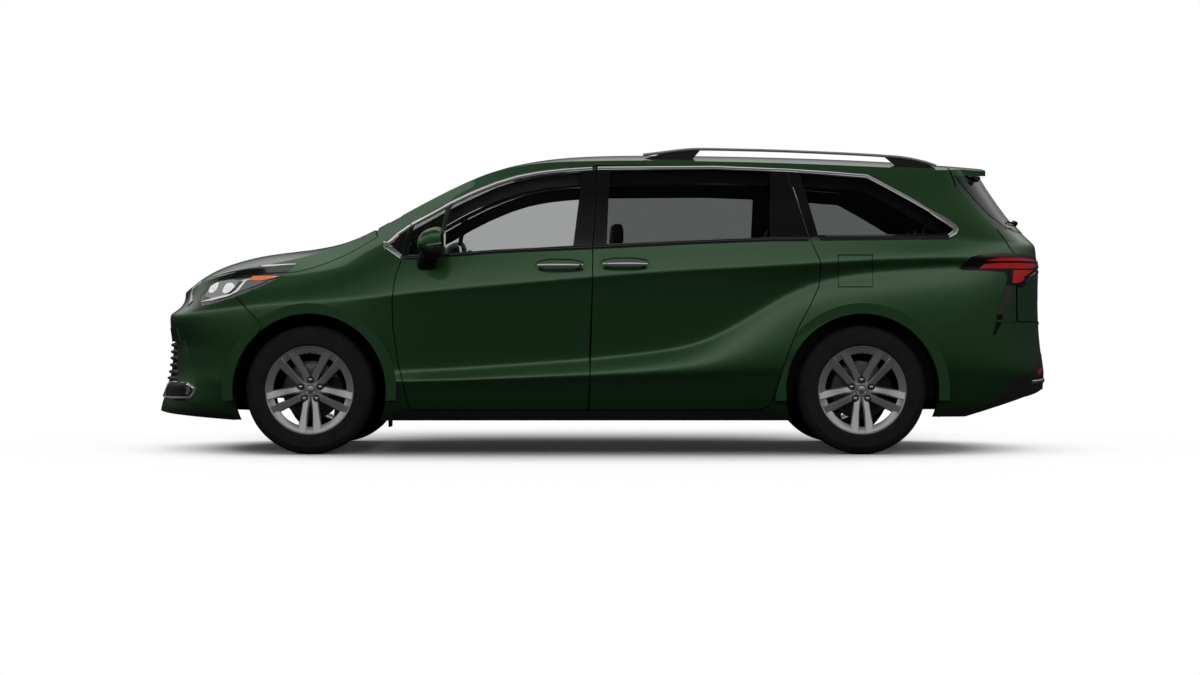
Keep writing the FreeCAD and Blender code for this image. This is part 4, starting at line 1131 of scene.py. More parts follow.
# The roof rail from its front to its rear end, and its two feet, as (x, z); no height means on the roof
RAIL_OUT = 0.637
RAIL_LINE = (
    (-0.225, 1.683), (-0.332, 1.6955), (-0.435, 1.7085), (-0.54, 1.715), (-0.78, 1.711), (-1.02, 1.7045),
    (-1.346, 1.6905), (-1.58, 1.6775), (-1.71, 1.6655), (-1.827, 1.64), (-1.885, 1.62),
)
RAIL_FEET = (
    ((-0.235, None), (-0.332, 1.69), (-0.435, 1.703), (-0.548, 1.708), (-0.505, None)),
    ((-1.655, None), (-1.595, 1.669), (-1.71, 1.66), (-1.827, 1.635), (-1.878, None)),
)


def rail_point(x, z):
    p = on_skin("top", x, RAIL_OUT)
    return Vector((p.x, p.y, z if z else p.z - 0.002))


def flat_bar(path, half_width, half_height):
    """A bar of rounded rectangular section along a path."""
    rings = []
    for i, p in enumerate(path):
        ahead = direction_at(path, i)
        side = ahead.cross(Vector((0, 0, 1))).normalized()
        over = side.cross(ahead)
        ring = superellipse((0, 0), 0, half_width, half_height, 4.0, 16)
        rings.append([p + side * q.x + over * q.z for q in ring])
    return loft(rings)


def roof_rails():
    """One bright bar along each side of the roof, its ends running down onto dark feet."""
    line = rounded([rail_point(x, z) for x, z in RAIL_LINE], 0.03)
    made = Shape(flat_bar(line, 0.016, 0.0078)).make_pair("rail_bar", "silver", BODY, bevel=0.002)
    feet = Shape()
    half = Vector((0, 0.0125, 0))
    for outline in RAIL_FEET:
        ring = [rail_point(x, z) for x, z in outline]
        feet.add(*loft([[p + half for p in ring], [p - half for p in ring]]))
    feet.make_pair("rail_feet", "black", BODY, bevel=0.0015)
    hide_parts("roof_rails")


wheels()
mirrors()
handles()
roof_rails()


# Front end

SLATS = (0.413, 0.449, 0.488, 0.527, 0.563, 0.602, 0.641)
SLAT_HALF_WIDTHS = (0.64, 0.625, 0.61, 0.597, 0.585, 0.572)
# Heights that the sheet over the slats is laid through, and how far forward it is where none is found
SLAT_STATIONS = (0.376,) + SLATS + (0.712,)
SLAT_FALLBACK = 2.4
# The grille's foot and top, and the top of the painted brow over it
GRILLE_FOOT = 0.381
GRILLE_TOP = 0.625
BROW_TOP = 0.703
# The section of a grille bar: height from its middle, and how far it stands out
BAR_SECTION = ((-0.009, 0.002), (-0.0085, 0.007), (-0.004, 0.011), (0.004, 0.01), (0.0075, 0.002))
SENSOR_HEIGHT = 0.563
SENSOR = ((0.0005, 0.012), (0.026, 0.012), (0.031, 0.008), (0.032, 0.0))


def slat_front(y, z):
    """How far forward the grille's slats reach, as a smooth sheet over them."""
    stations = SLAT_STATIONS
    reach = [depth("front", y, s) for s in stations]
    reach = [r if r is not None else SLAT_FALLBACK for r in reach]
    for i in range(len(stations) - 1):
        if stations[i] <= z <= stations[i + 1]:
            t = (z - stations[i]) / (stations[i + 1] - stations[i])
            return reach[i] * (1 - t) + reach[i + 1] * t
    return reach[0] if z < stations[0] else reach[-1]


def sheet_form(rows, thickness):
    """A closed sheet through rows of points, thickened backwards along X."""
    width = len(rows[0])
    front = [p for row in rows for p in row]
    back = [p - Vector((thickness, 0, 0)) for p in front]
    faces = []
    count = len(front)
    for i in range(len(rows) - 1):
        for j in range(width - 1):
            square = (i * width + j, i * width + j + 1, (i + 1) * width + j + 1, (i + 1) * width + j)
            faces.append(square)
            faces.append(tuple(count + k for k in reversed(square)))
    rim = list(range(width)) + [i * width + width - 1 for i in range(1, len(rows))]
    rim += [(len(rows) - 1) * width + j for j in reversed(range(width - 1))]
    rim += [i * width for i in reversed(range(1, len(rows) - 1))]
    for a, b in zip(rim, rim[1:] + rim[:1]):
        faces.append((b, a, count + a, count + b))
    return front + back, faces


def on_slats(y, z, out):
    """A point in front of the grille's slats."""
    return Vector((slat_front(y, z) + out, y, z))


def evenly(low, high, pieces):
    """Values from low to high, both included."""
    return [low + (high - low) * i / pieces for i in range(pieces + 1)]


def grille_bars():
    bars = Shape()
    for z, half in zip(SLATS, SLAT_HALF_WIDTHS):
        line = [(-half + 2 * half * i / 12, z + 0.012 * (i / 6 - 1) ** 2) for i in range(13)]
        rows = []
        for rise, out in BAR_SECTION:
            rows.append([Vector((slat_front(y, z) + out, y, height + rise)) for y, height in line])
        bars.add(*sheet_form(rows, 0.01))
    bars.make("grille_bars", "chrome", BODY, angle=40)


def grille_cheeks():
    """Painted sheets beside the bars, that run back into the bumper."""
    rows = []
    for i in range(14):
        z = GRILLE_FOOT + (GRILLE_TOP + 0.008 - GRILLE_FOOT) * i / 13
        inner = 0.655 - 0.075 * i / 13
        outer = 0.8 - 0.11 * (i / 13) ** 1.3
        row = []
        for j, y in enumerate(evenly(inner, outer, 8)):
            row.append(on_slats(y, z, 0.005 * (1 - (j / 8) ** 3) - (0.003 if j == 8 else 0)))
        rows.append(row)
    Shape(sheet_form(rows, 0.02)).make_pair("grille_cheek", "paint", BODY, angle=40)


def grille_brow():
    rows = []
    for i, z in enumerate(evenly(GRILLE_TOP, BROW_TOP, 6)):
        half = 0.64 - 0.03 * i / 6
        rows.append([on_slats(y, z, 0.0045) for y in evenly(-half, half, 40)])
    Shape(sheet_form(rows, 0.018)).make("grille_brow", "paint", BODY, angle=40)


def grille_uprights():
    """Dark uprights between the bars, and the round sensor cover."""
    uprights = Shape()
    for i in range(-5, 6):
        y = i * 0.105
        rows = [[on_slats(y + side, z, -0.004) for z in evenly(0.392, 0.618, 8)] for side in (-0.003, 0.003)]
        uprights.add(*sheet_form(rows, 0.008))
    uprights.make("grille_uprights", "piano", BODY)
    place = (slat_front(0, SENSOR_HEIGHT) + 0.006, 0, SENSOR_HEIGHT)
    Shape(turned_form(SENSOR, place, axis="X", steps=40, closed=False)).make("sensor_disc", "piano", BODY)


# The fog lamp's corner seen from the front, as (y, z)
FOG_BEZEL = [
    (0.5, 0.393), (0.61, 0.396), (0.7198, 0.3975), (0.772, 0.376), (0.7914, 0.3574), (0.784, 0.33),
    (0.7713, 0.3125), (0.65, 0.308), (0.54, 0.308), (0.488, 0.35), (0.5, 0.393),
]
FOG_HOLE = [
    (0.51, 0.387), (0.716, 0.389), (0.765, 0.37), (0.782, 0.356), (0.774, 0.332), (0.764, 0.32),
    (0.65, 0.315), (0.545, 0.315), (0.5, 0.35),
]
FOG_LAMPS = ((0.752, 0.365), (0.758, 0.35), (0.754, 0.335))
# A cell's wall as (radius, lift), and how far apart the cells are
CELL_SECTION = ((0.0068, 0.0035), (0.0068, 0.006), (0.0095, 0.006), (0.0095, 0.0035))
CELL_ACROSS, CELL_UP = 0.0175, 0.0145
CELLS_END = 0.742


def honeycomb():
    """Hexagonal cells in the recess, as far as the lamp."""
    hole = [Vector(p) for p in FOG_HOLE]
    cells = Shape()
    for row in range(5):
        for column in range(14):
            y = 0.52 + column * CELL_ACROSS + (row % 2) * CELL_ACROSS / 2
            z = 0.323 + row * CELL_UP
            if not inside(Vector((y, z)), hole) or y > CELLS_END:
                continue
            rings = []
            for radius, lift in CELL_SECTION:
                turns = (k * math.pi / 3 for k in range(6))
                corners = ((y + radius * math.cos(a), z + radius * math.sin(a)) for a in turns)
                rings.append([on_skin("front", *corner, lift) for corner in corners])
            if all(p is not None for ring in rings for p in ring):
                cells.add(*loft(rings, cap=False))
    cells.make_pair("fog_honeycomb", "piano", BODY, smooth=False, angle=0)


def fog_bezels():
    bezel = Shape(ribbon_form("front", FOG_BEZEL, 0.014, 0.008, step=0.02))
    bezel.make_pair("fog_bezel", "chrome", BODY, angle=40)
    Shape(patch_form("front", FOG_HOLE, 0.002)).make_pair("fog_recess", "black", BODY)
    honeycomb()
    lamp = Shape()
    for y, z in FOG_LAMPS:
        lamp.add(*patch_form("front", box_outline(y, z, 0.012, 0.006, 0.003, 2), 0.006))
    lamp.make_pair("fog_lamp", "mirror", BODY)


# The bonnet's edge over the lamp, seen from the side
HOOD_EDGE = (
    (1.7, 1.012), (1.8, 1.006), (1.9, 1.0), (2.0, 0.992), (2.1, 0.991), (2.15, 0.982), (2.2, 0.952),
    (2.25, 0.912), (2.3, 0.87),
)
HOOD_GAP = 0.006


def hood_edge(x):
    """The height of the bonnet's edge at one place."""
    for (x0, z0), (x1, z1) in zip(HOOD_EDGE, HOOD_EDGE[1:]):
        if x <= x1:
            return z0 + (z1 - z0) * max(0.0, (x - x0) / (x1 - x0))
    return HOOD_EDGE[-1][1]


def under_hood(outline):
    return [(x, min(z, hood_edge(x) - HOOD_GAP)) for x, z in outline]


# The headlamp's parts: strips seen from above and from the front, the rest from the side
STRIP_LINE = [
    (2.208, 0.614), (2.1577, 0.648), (2.0694, 0.708), (1.9706, 0.766), (1.8665, 0.796), (1.7635, 0.813),
    (1.72, 0.82),
]
FRONT_STRIP_LINE = [(0.628, 0.842), (0.59, 0.862), (0.56, 0.895), (0.562, 0.93), (0.584, 0.957)]
LAMP_BROW = [
    (2.15, 1.005), (2.0694, 1.019), (1.9706, 1.03), (1.8665, 1.04), (1.7635, 1.0475), (1.725, 1.054),
]
LAMP_BROW_FOOT = (1.77, 1.85, 1.9, 1.95, 2.0, 2.05, 2.1, 2.15)
LAMP_BOWL = [
    (2.24, 0.878), (2.215, 0.925), (2.16, 0.962), (2.07, 0.972), (2.035, 0.962), (2.055, 0.925),
    (2.11, 0.885), (2.185, 0.866),
]
LAMP_WEDGE = [(1.99, 0.96), (2.036, 0.898), (1.93, 0.938), (1.87, 0.964)]
REFLECTORS = (
    [(2.218, 0.9), (2.205, 0.942), (2.176, 0.958), (2.156, 0.956), (2.164, 0.918), (2.19, 0.895)],
    [
        (2.13, 0.898), (2.124, 0.925), (2.108, 0.95), (2.074, 0.953), (2.056, 0.932), (2.08, 0.902),
        (2.11, 0.89),
    ],
)
PROJECTOR_SHARE = 0.45
TURN_LAMP = [(1.9822, 0.966), (1.956, 0.99), (1.83, 0.99), (1.824, 0.98), (1.9148, 0.962)]
LAMP_SLIVER = [
    (2.265, 0.844), (2.1935, 0.8645), (2.0724, 0.8915), (2.0477, 0.9111), (2.0036, 0.9674),
    (1.9887, 0.9673), (2.0346, 0.9025), (2.0947, 0.8747), (2.1909, 0.852),
]
LAMP_COVER = [
    (2.27, 0.866), (2.22, 0.926), (2.145, 0.97), (2.0, 0.984), (1.9, 0.992), (1.805, 0.996), (1.83, 0.978),
    (1.9, 0.944), (2.037, 0.887), (2.175, 0.849), (2.26, 0.833),
]


def lamp_strips():
    """The bright strips over the lamp, on the bonnet and round its front corner, and the dark brow."""
    strip = ribbon_form("top", rounded_flat(STRIP_LINE, 0.03), lambda t: 0.028 - 0.018 * t, 0.004)
    Shape(strip).make_pair("lamp_strip", "chrome", HOOD, angle=40)
    front = ribbon_form("front", rounded_flat(FRONT_STRIP_LINE, 0.01), lambda t: 0.034 - 0.008 * t, 0.004)
    Shape(front).make_pair("lamp_strip_front", "chrome", BODY, angle=40)
    foot = [(x, hood_edge(x) + 0.0075) for x in LAMP_BROW_FOOT]
    Shape(patch_form("side", LAMP_BROW + foot, 0.0018)).make_pair("lamp_shade", "piano", HOOD)


def lamp_patch(name, key, outline, lift, step=0.015):
    """A part of the headlamp that stays under the bonnet's edge."""
    Shape(patch_form("side", under_hood(outline), lift, step=step)).make_pair(name, key, BODY)


def light_units():
    """Bright reflectors, each with a smaller lens in its middle."""
    units = (rounded_outline(under_hood(outline), 0.01, 3) for outline in REFLECTORS)
    bright = Shape(*(patch_form("side", unit, 0.006, step=0.012) for unit in units))
    bright.make_pair("lamp_reflectors", "mirror", BODY, bevel=0.002)
    lenses = Shape()
    for outline in REFLECTORS:
        centre = sum((Vector(p) for p in outline), Vector((0, 0))) / len(outline)
        inner = [tuple(centre + (Vector(p) - centre) * PROJECTOR_SHARE) for p in outline]
        lens = rounded_outline(under_hood(inner), 0.006, 3)
        lenses.add(*patch_form("side", lens, 0.0075, step=0.012))
    lenses.make_pair("lamp_projectors", "lens", BODY, bevel=0.002)


def headlamps():
    """Bright and dark parts on the lamp's body, under a clear cover."""
    lamp_strips()
    lamp_patch("lamp_bowl", "bowl", LAMP_BOWL, 0.0035)
    lamp_patch("lamp_wedge", "graphite", LAMP_WEDGE, 0.0035)
    light_units()
    lamp_patch("lamp_turn", "amber", TURN_LAMP, 0.006)
    lamp_patch("lamp_sliver", "silver", LAMP_SLIVER, 0.006, step=0.012)
    fins = Shape()
    for k in range(5):
        x = 2.05 - 0.016 * k
        line = [(x, 0.962 + 0.003 * k), (x - 0.18, 0.972 + 0.0035 * k)]
        fins.add(*ribbon_form("side", line, 0.0022, 0.0045, step=0.02))
    fins.make_pair("lamp_fins", "silver", BODY)
    Shape(patch_form("side", LAMP_COVER, 0.011, rim=0.008)).make_pair("lamp_cover", "cover", BODY)


def seam(name, face, path, width, body, lift=-0.012, deep=0.02):
    """A dark strip sunk behind a gap between panels, so that no light shows through it."""
    path = [Vector(p) for p in path]
    line = split_line(path, 0.02) + path[-1:]
    corners = ((-0.5, lift), (0.5, lift), (0.5, lift - deep), (-0.5, lift - deep))
    rings = []
    for i, p in enumerate(line):
        ahead = direction_at(line, i)
        across = Vector((-ahead.y, ahead.x)) * width
        ring = [on_skin(face, p.x + s * across.x, p.y + s * across.y, depth_in) for s, depth_in in corners]
        if all(q is not None for q in ring):
            rings.append(ring)
    Shape(loft(rings)).make_pair(name, "black", body)


# The line on the lip that parts paint from black: its slope, and its height at one place
LIP_SLOPE = 0.071
LIP_HEIGHT, LIP_PLACE = 0.2228, 2.07


def lower_trim_material():
    """Paint above a slanting line and black below it, for the lip under the nose."""
    material = MATERIALS["paint"].copy()
    material.name = "lip_two_tone"
    tree = material.node_tree
    dark = node(tree, "ShaderNodeBsdfPrincipled", Base_Color=gray(0.018), Roughness=0.5)
    place = node(tree, "ShaderNodeTexCoord")
    split = node(tree, "ShaderNodeSeparateXYZ")
    slope = node(tree, "ShaderNodeMath", "MULTIPLY_ADD")
    slope.inputs[1].default_value = -LIP_SLOPE
    above = node(tree, "ShaderNodeMath", "GREATER_THAN")
    above.inputs[1].default_value = LIP_HEIGHT - LIP_SLOPE * LIP_PLACE
    link(tree, place, "Object", split, "Vector")
    link(tree, split, "X", slope, 0)
    link(tree, split, "Z", slope, 2)
    link(tree, slope, "Value", above, 0)
    mix = mixed(tree, above, dark, principled_of(tree))
    link(tree, mix, "Shader", tree.nodes["Material Output"], "Surface")
    return material


def reshaped(name, source, change, planes, material, body):
    """A piece that stands for a CAD node: its form moved by a rule and cut along planes."""
    shape = bmesh.new()
    shape.from_mesh(NODES[source].data)
    for vertex in shape.verts:
        vertex.co = change(vertex.co.copy())
    for point, normal in planes:
        geometry = shape.verts[:] + shape.edges[:] + shape.faces[:]
        cut = bmesh.ops.bisect_plane(
            shape, geom=geometry, plane_co=point, plane_no=normal, clear_outer=True,
        )
        edges = [e for e in cut["geom_cut"] if isinstance(e, bmesh.types.BMEdge)]
        bmesh.ops.triangle_fill(shape, use_beauty=True, use_dissolve=False, edges=edges)
    mesh = bpy.data.meshes.new(name)
    shape.to_mesh(mesh)
    shape.free()
    mesh.materials.append(material)
    mesh.polygons.foreach_set("use_smooth", [True] * len(mesh.polygons))
    mesh.polygons.foreach_set("material_index", [0] * len(mesh.polygons))
    mesh.set_sharp_from_angle(angle=math.radians(30))
    made = new_object(name, mesh)
    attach(made, body)
    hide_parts(source)
    return made


# The plane that cuts the lip's underside, as a point and its normal
LIP_CUT = (Vector((2.42, 0, 0.214)), Vector((0.068, 0, -0.9977)))
NOSE_SEAL = [(2.055, 0.884), (1.88, 0.722)]


def tuck_lip(p):
    """The lip's corners drawn back into a rounder nose."""
    share = min(1.0, max(0.0, (abs(p.y) - 0.1) / 0.4))
    fade = min(1.0, max(0.0, (0.86 - abs(p.y)) / 0.16))
    weight = share * share * (3 - 2 * share) * fade
    return Vector((p.x - 0.034 * weight, p.y, p.z))


grille_bars()
grille_cheeks()
grille_brow()
grille_uprights()
fog_bezels()
headlamps()
reshaped("lip_form", "front_lip", tuck_lip, [LIP_CUT], lower_trim_material(), BODY)
seam("seal_nose", "side", NOSE_SEAL, 0.024, BODY)


# Rear end

# Where the tail lamp is split between the quarter, seen from the side, and the gate, seen from behind
LAMP_SPLIT_X = -2.378
LAMP_SPLIT_Y = 0.634
# Each part of the tail lamp: its name, its material, how far it stands out, and its two outlines
LAMP_PARTS = (
    (
        "housing", "piano", 0.003,
        [
            (-1.9783, 1.0375), (-1.9984, 1.0626), (-2.043, 1.0964), (-2.1172, 1.1143), (-2.2188, 1.1238),
            (-2.302, 1.1246), (LAMP_SPLIT_X, 1.1225), (LAMP_SPLIT_X, 0.946), (-2.2606, 0.9443),
            (-2.2793, 1.015), (-2.27, 1.0224), (-2.1289, 1.0224), (-1.9925, 1.0237),
        ],
        [
            (LAMP_SPLIT_Y, 1.122), (0.5915, 1.1203), (0.3901, 1.1067), (0.35, 1.094), (0.3638, 1.06),
            (0.4231, 1.0212), (0.5531, 0.975), (LAMP_SPLIT_Y, 0.947),
        ],
    ),
    (
        "upper", "red", 0.006,
        [
            (-2.1288, 1.0782), (-2.222, 1.094), (-2.3421, 1.0977), (LAMP_SPLIT_X, 1.0972),
            (LAMP_SPLIT_X, 1.0822), (-2.3417, 1.0821), (-2.1971, 1.0763),
        ],
        [(LAMP_SPLIT_Y, 1.097), (0.4901, 1.095), (0.39, 1.086), (LAMP_SPLIT_Y, 1.082)],
    ),
    (
        "main", "red", 0.006,
        [
            (-2.093, 1.0331), (-2.1233, 1.0575), (-2.2224, 1.0672), (-2.3561, 1.0699),
            (LAMP_SPLIT_X, 1.0699), (LAMP_SPLIT_X, 1.0385), (-2.3205, 1.0376), (-2.2033, 1.0349),
        ],
        [
            (LAMP_SPLIT_Y, 1.0699), (0.4804, 1.0695), (0.4, 1.064), (0.5298, 1.043), (LAMP_SPLIT_Y, 1.04),
        ],
    ),
    (
        "lower", "red", 0.006,
        [
            (-2.3066, 1.0271), (LAMP_SPLIT_X, 1.03), (LAMP_SPLIT_X, 0.975), (-2.3397, 0.9562),
            (-2.298, 0.9553),
        ],
        [(LAMP_SPLIT_Y, 1.032), (0.52, 1.033), (0.6069, 1.0028), (LAMP_SPLIT_Y, 0.995)],
    ),
    (
        "clear", "mirror", 0.006,
        None,
        [
            (LAMP_SPLIT_Y, 0.96), (0.5514, 1.0003), (0.4494, 1.022), (0.4462, 1.0156), (0.5362, 0.986),
            (0.6116, 0.9591),
        ],
    ),
)
# The garnish under the tail lamp, seen from the side
GARNISH = [(-2.2547, 0.938), (-2.32, 0.938), (-2.2363, 0.779), (-2.1976, 0.779)]
GARNISH_FOOT = (
    [(-2.197, 0.735), (-2.229, 0.735), (-2.1863, 0.6627), (-2.1702, 0.6626)],
    [(-2.1976, 0.776), (-2.2363, 0.776), (-2.231, 0.748), (-2.199, 0.748)],
)


def tail_lamps():
    for name, key, lift, quarter, gate in LAMP_PARTS:
        if quarter:
            Shape(patch_form("side", quarter, lift)).make_pair(f"tail_lamp_{name}", key, BODY)
        Shape(patch_form("rear", gate, lift)).make_pair(f"gate_lamp_{name}", key, GATE)
    Shape(patch_form("side", GARNISH, 0.0025)).make_pair("lamp_garnish", "graphite", BODY)
    foot = Shape(*(patch_form("side", outline, 0.0025) for outline in GARNISH_FOOT))
    foot.make_pair("lamp_garnish_foot", "piano", BODY)


# The gate's fittings seen from behind, as (y, z)
GATE_FIN = [
    (0.676, 1.562), (0.68, 1.515), (0.676, 1.43), (0.652, 1.33), (0.598, 1.27), (0.545, 1.27),
    (0.536, 1.364), (0.52, 1.456), (0.508, 1.562),
]
PLATE_RECESS = [(-0.3, 0.86), (-0.26, 1.015), (0.26, 1.015), (0.3, 0.86)]
WIPER_ARM = ((0.02, 1.296, 0.018), (0.14, 1.298, 0.022), (0.3, 1.302, 0.02), (0.42, 1.306, 0.016))
WIPER_BLADE = ((0.1, 1.312, 0.01), (0.26, 1.304, 0.01), (0.42, 1.3, 0.01), (0.54, 1.3, 0.01))
WIPER_PIVOT = ((0.0005, -0.026), (0.016, -0.026), (0.02, -0.018), (0.02, 0.01))


def upright_box(half, low, high):
    """A rectangle across the car's middle."""
    return [(-half, low), (-half, high), (half, high), (half, low)]


def rear_wiper():
    wiper = Shape()
    arm = rounded([on_skin("rear", *place) for place in WIPER_ARM], 0.02)
    wiper.add(*tube_form(arm, lambda t: 0.0085 - 0.0035 * t))
    blade = rounded([on_skin("rear", *place) for place in WIPER_BLADE], 0.02)
    wiper.add(*tube_form(blade, 0.0055, 8))
    pivot = on_skin("rear", *WIPER_ARM[0][:2])
    wiper.add(*turned_form(WIPER_PIVOT, pivot, axis="X", steps=24, closed=False))
    wiper.make("rear_wiper", "black", GATE)


def gate_patch(name, key, outline, lift, step=0.03, rim=0.003, **options):
    Shape(patch_form("rear", outline, lift, step, rim)).make(name, key, GATE, **options)


def gate_fittings():
    """Dark fins beside the glass, wiper, lamp bar, handle, plate recess and the high brake lamp."""
    Shape(patch_form("rear", GATE_FIN, 0.003, step=0.03)).make_pair("gate_fin", "piano", GATE)
    glass_edge = [(-0.545, 1.285), (-0.545, 1.252), (0.545, 1.252), (0.545, 1.285)]
    gate_patch("gate_glass_edge", "piano", glass_edge, 0.003, step=0.04)
    rear_wiper()
    gate_patch("gate_bar", "chrome", upright_box(0.345, 1.052, 1.092), 0.006)
    gate_patch("plate_recess", "piano", rounded_outline(PLATE_RECESS, 0.03), 0.0012)
    plate = rounded_outline(upright_box(0.155, 0.872, 0.992), 0.012)
    gate_patch("plate_blank", "silver", plate, 0.006, bevel=0.001)
    grip = rounded_outline(upright_box(0.11, 1.022, 1.042), 0.008)
    gate_patch("gate_grip", "black", grip, 0.012, step=0.02, rim=0.01)
    gate_patch("high_brake_lamp", "red", upright_box(0.17, 1.585, 1.603), 0.004, step=0.02)


# Planes that cut the rear bumper and the floor behind the axle, each as a point and its normal
RISING = Vector((-0.2728, 0, -0.9621))
LEVEL_CUT = (Vector((-1.9, 0, 0.208)), Vector((0, 0, -1)))
BUMPER_CUT = (Vector((-2.05, 0, 0.218)), RISING)
FLOOR_CUT = (Vector((-2.05, 0, 0.23)), RISING)


def unchanged(p):
    return p


def cut_bumper():
    """The rear bumper and the floor behind the axle with their lower edge rising to the tail."""
    reshaped("bumper_form", "rear_bumper", unchanged, [LEVEL_CUT, BUMPER_CUT], MATERIALS["paint"], BODY)
    reshaped("floor_form", "floor_pan", unchanged, [FLOOR_CUT], MATERIALS["steel"], BODY)


# The black lower trim, from the side and from behind, its strip and reflectors, and the gate's seals
VALANCE_SIDE = [
    (-1.8959, 0.2577), (-2.06, 0.272), (-2.15, 0.28), (-2.2073, 0.299), (-2.264, 0.356), (-2.32, 0.414),
    (-2.32, 0.3), (-2.06, 0.226), (-1.9, 0.212),
]
VALANCE = [
    (-0.742, 0.412), (-0.56, 0.48), (-0.3629, 0.55), (-0.33, 0.556), (0.33, 0.556), (0.3629, 0.55),
    (0.56, 0.48), (0.742, 0.412), (0.742, 0.3), (0.4, 0.348), (-0.4, 0.348), (-0.742, 0.3),
]
VALANCE_STRIP = [(-0.6, 0.395), (-0.4, 0.4), (0.4, 0.4), (0.6, 0.395)]
REFLECTOR = [(0.44, 0.452), (0.52, 0.436), (0.52, 0.456), (0.44, 0.474)]
GATE_SEAL_SIDE = [(-2.18, 0.7425), (-2.33, 0.7425)]
GATE_SEAL = [(y, 0.7415) for y in (-0.79, -0.4, 0.0, 0.4, 0.79)]
GATE_SEAL_SECTION = ((-0.5, -0.03), (-0.5, -0.012), (0.5, -0.012), (0.5, -0.03))


def rear_trim():
    Shape(patch_form("side", VALANCE_SIDE, 0.003, step=0.025)).make_pair("valance_side", "black", BODY)
    Shape(patch_form("rear", VALANCE, 0.003, step=0.03)).make("valance", "black", BODY)
    strip = Shape(ribbon_form("rear", VALANCE_STRIP, 0.022, 0.01, step=0.04))
    strip.make("valance_strip", "silver", BODY)
    # The reflectors take the red lens material, so they show its faint painted glow though they are no lamps.
    reflector = Shape(patch_form("rear", rounded_outline(REFLECTOR, 0.006), 0.008))
    reflector.make_pair("rear_reflector", "red", BODY)
    seam("seal_gate_low", "side", GATE_SEAL_SIDE, 0.026, BODY, lift=-0.01)
    seal = Shape(ribbon_form("rear", GATE_SEAL, 0.03, -0.008, step=0.03, profile=GATE_SEAL_SECTION))
    seal.make("seal_gate_bottom", "black", BODY)


tail_lamps()
gate_fittings()
cut_bumper()
rear_trim()


# Seats

# Each seat: its name, its place along the car, its middle across the car, and its width
SEATS = (
    ("driver", 0.56, 0.38, 1.0), ("passenger", 0.56, -0.38, 1.0), ("second_left", -0.38, 0.4, 0.96),
    ("second_right", -0.38, -0.4, 0.96), ("third_left", -1.24, 0.41, 0.78),
    ("third_middle", -1.24, 0.0, 0.78), ("third_right", -1.24, -0.41, 0.78),
)
SEAT_NODES = {"driver": "front_seats", "second_left": "middle_seats", "third_middle": "rear_bench"}
SEAT_BASE = 0.472
PAD_VOXEL = 0.013
PAD_SWELL = 0.026
PAD_PRESSURE = 4.0
PAD_FRAMES = 20
SEAM_WIDTH = 0.006
# Shares of the half width along the front of a cushion's section, with how far each place is raised,
# and along its back
BASE_FRONT = (
    (-1.0, 0.02), (-0.8, 0.034), (-0.55, 0.0), (0.0, -0.004), (0.55, 0.0), (0.8, 0.034), (1.0, 0.02),
)
BACK_FRONT = (
    (-1.0, 0.024), (-0.82, 0.04), (-0.55, 0.0), (0.0, -0.004), (0.55, 0.0), (0.82, 0.04), (1.0, 0.024),
)
PAD_BACK = (1.0, 0.5, 0.0, -0.5, -1.0)
# Sections of the cushion from its rear to its front edge, as (x from the seat's place, top, underside,
# half width)
BASE_SECTIONS = (
    (-0.475, 0.15, 0.08, 0.205), (-0.44, 0.165, 0.06, 0.215), (-0.25, 0.15, 0.055, 0.222),
    (-0.11, 0.158, 0.055, 0.225), (-0.06, 0.15, 0.06, 0.22), (-0.035, 0.12, 0.075, 0.205),
)
# Sections of the backrest from its foot to its top, as (x, height, half width, thickness)
BACK_SECTIONS = (
    (-0.48, 0.64, 0.2, 0.06), (-0.497, 0.7, 0.215, 0.072), (-0.545, 0.85, 0.222, 0.07),
    (-0.59, 0.99, 0.215, 0.066), (-0.618, 1.08, 0.185, 0.058), (-0.63, 1.108, 0.15, 0.04),
)
# Sections of the head restraint from its foot to its top, as (height, half width, front, back)
HEAD_SECTIONS = (
    (1.172, 0.085, -0.614, -0.664), (1.19, 0.105, -0.604, -0.674), (1.245, 0.112, -0.6, -0.678),
    (1.285, 0.098, -0.606, -0.674), (1.3, 0.075, -0.618, -0.664),
)
# Sewn grooves, as (axis, place, from, to, depth)
BASE_SEAMS = (
    (1, -0.13, -0.46, -0.04, 0.005), (1, 0.13, -0.46, -0.04, 0.005), (0, -0.17, -0.13, 0.13, 0.004),
    (0, -0.31, -0.13, 0.13, 0.004),
)
BACK_SEAMS = (
    (1, -0.125, -0.58, -0.4, 0.005), (1, 0.125, -0.62, -0.4, 0.005), (2, 0.8, -0.125, 0.125, 0.004),
    (2, 0.94, -0.125, 0.125, 0.004),
)
# The hard shell behind the backrest, as (x, height, half width)
SHELL_SECTIONS = (
    (-0.545, 0.6, 0.195), (-0.58, 0.72, 0.205), (-0.622, 0.86, 0.21), (-0.662, 1.0, 0.2),
    (-0.684, 1.085, 0.17),
)
PLINTH_HEIGHTS = (0.353, 0.38, 0.54)


def evaluated_mesh(made):
    return bpy.data.meshes.new_from_object(made.evaluated_get(bpy.context.evaluated_depsgraph_get()))


def cushion_mesh(name, rows):
    """A closed form through rows of points, remeshed into even small faces."""
    made = new_object(name, new_mesh(name, *loft(rows)))
    remesh = made.modifiers.new("even", "REMESH")
    remesh.mode = "VOXEL"
    remesh.voxel_size = PAD_VOXEL
    applied = evaluated_mesh(made)
    made.modifiers.clear()
    made.data = applied
    return made


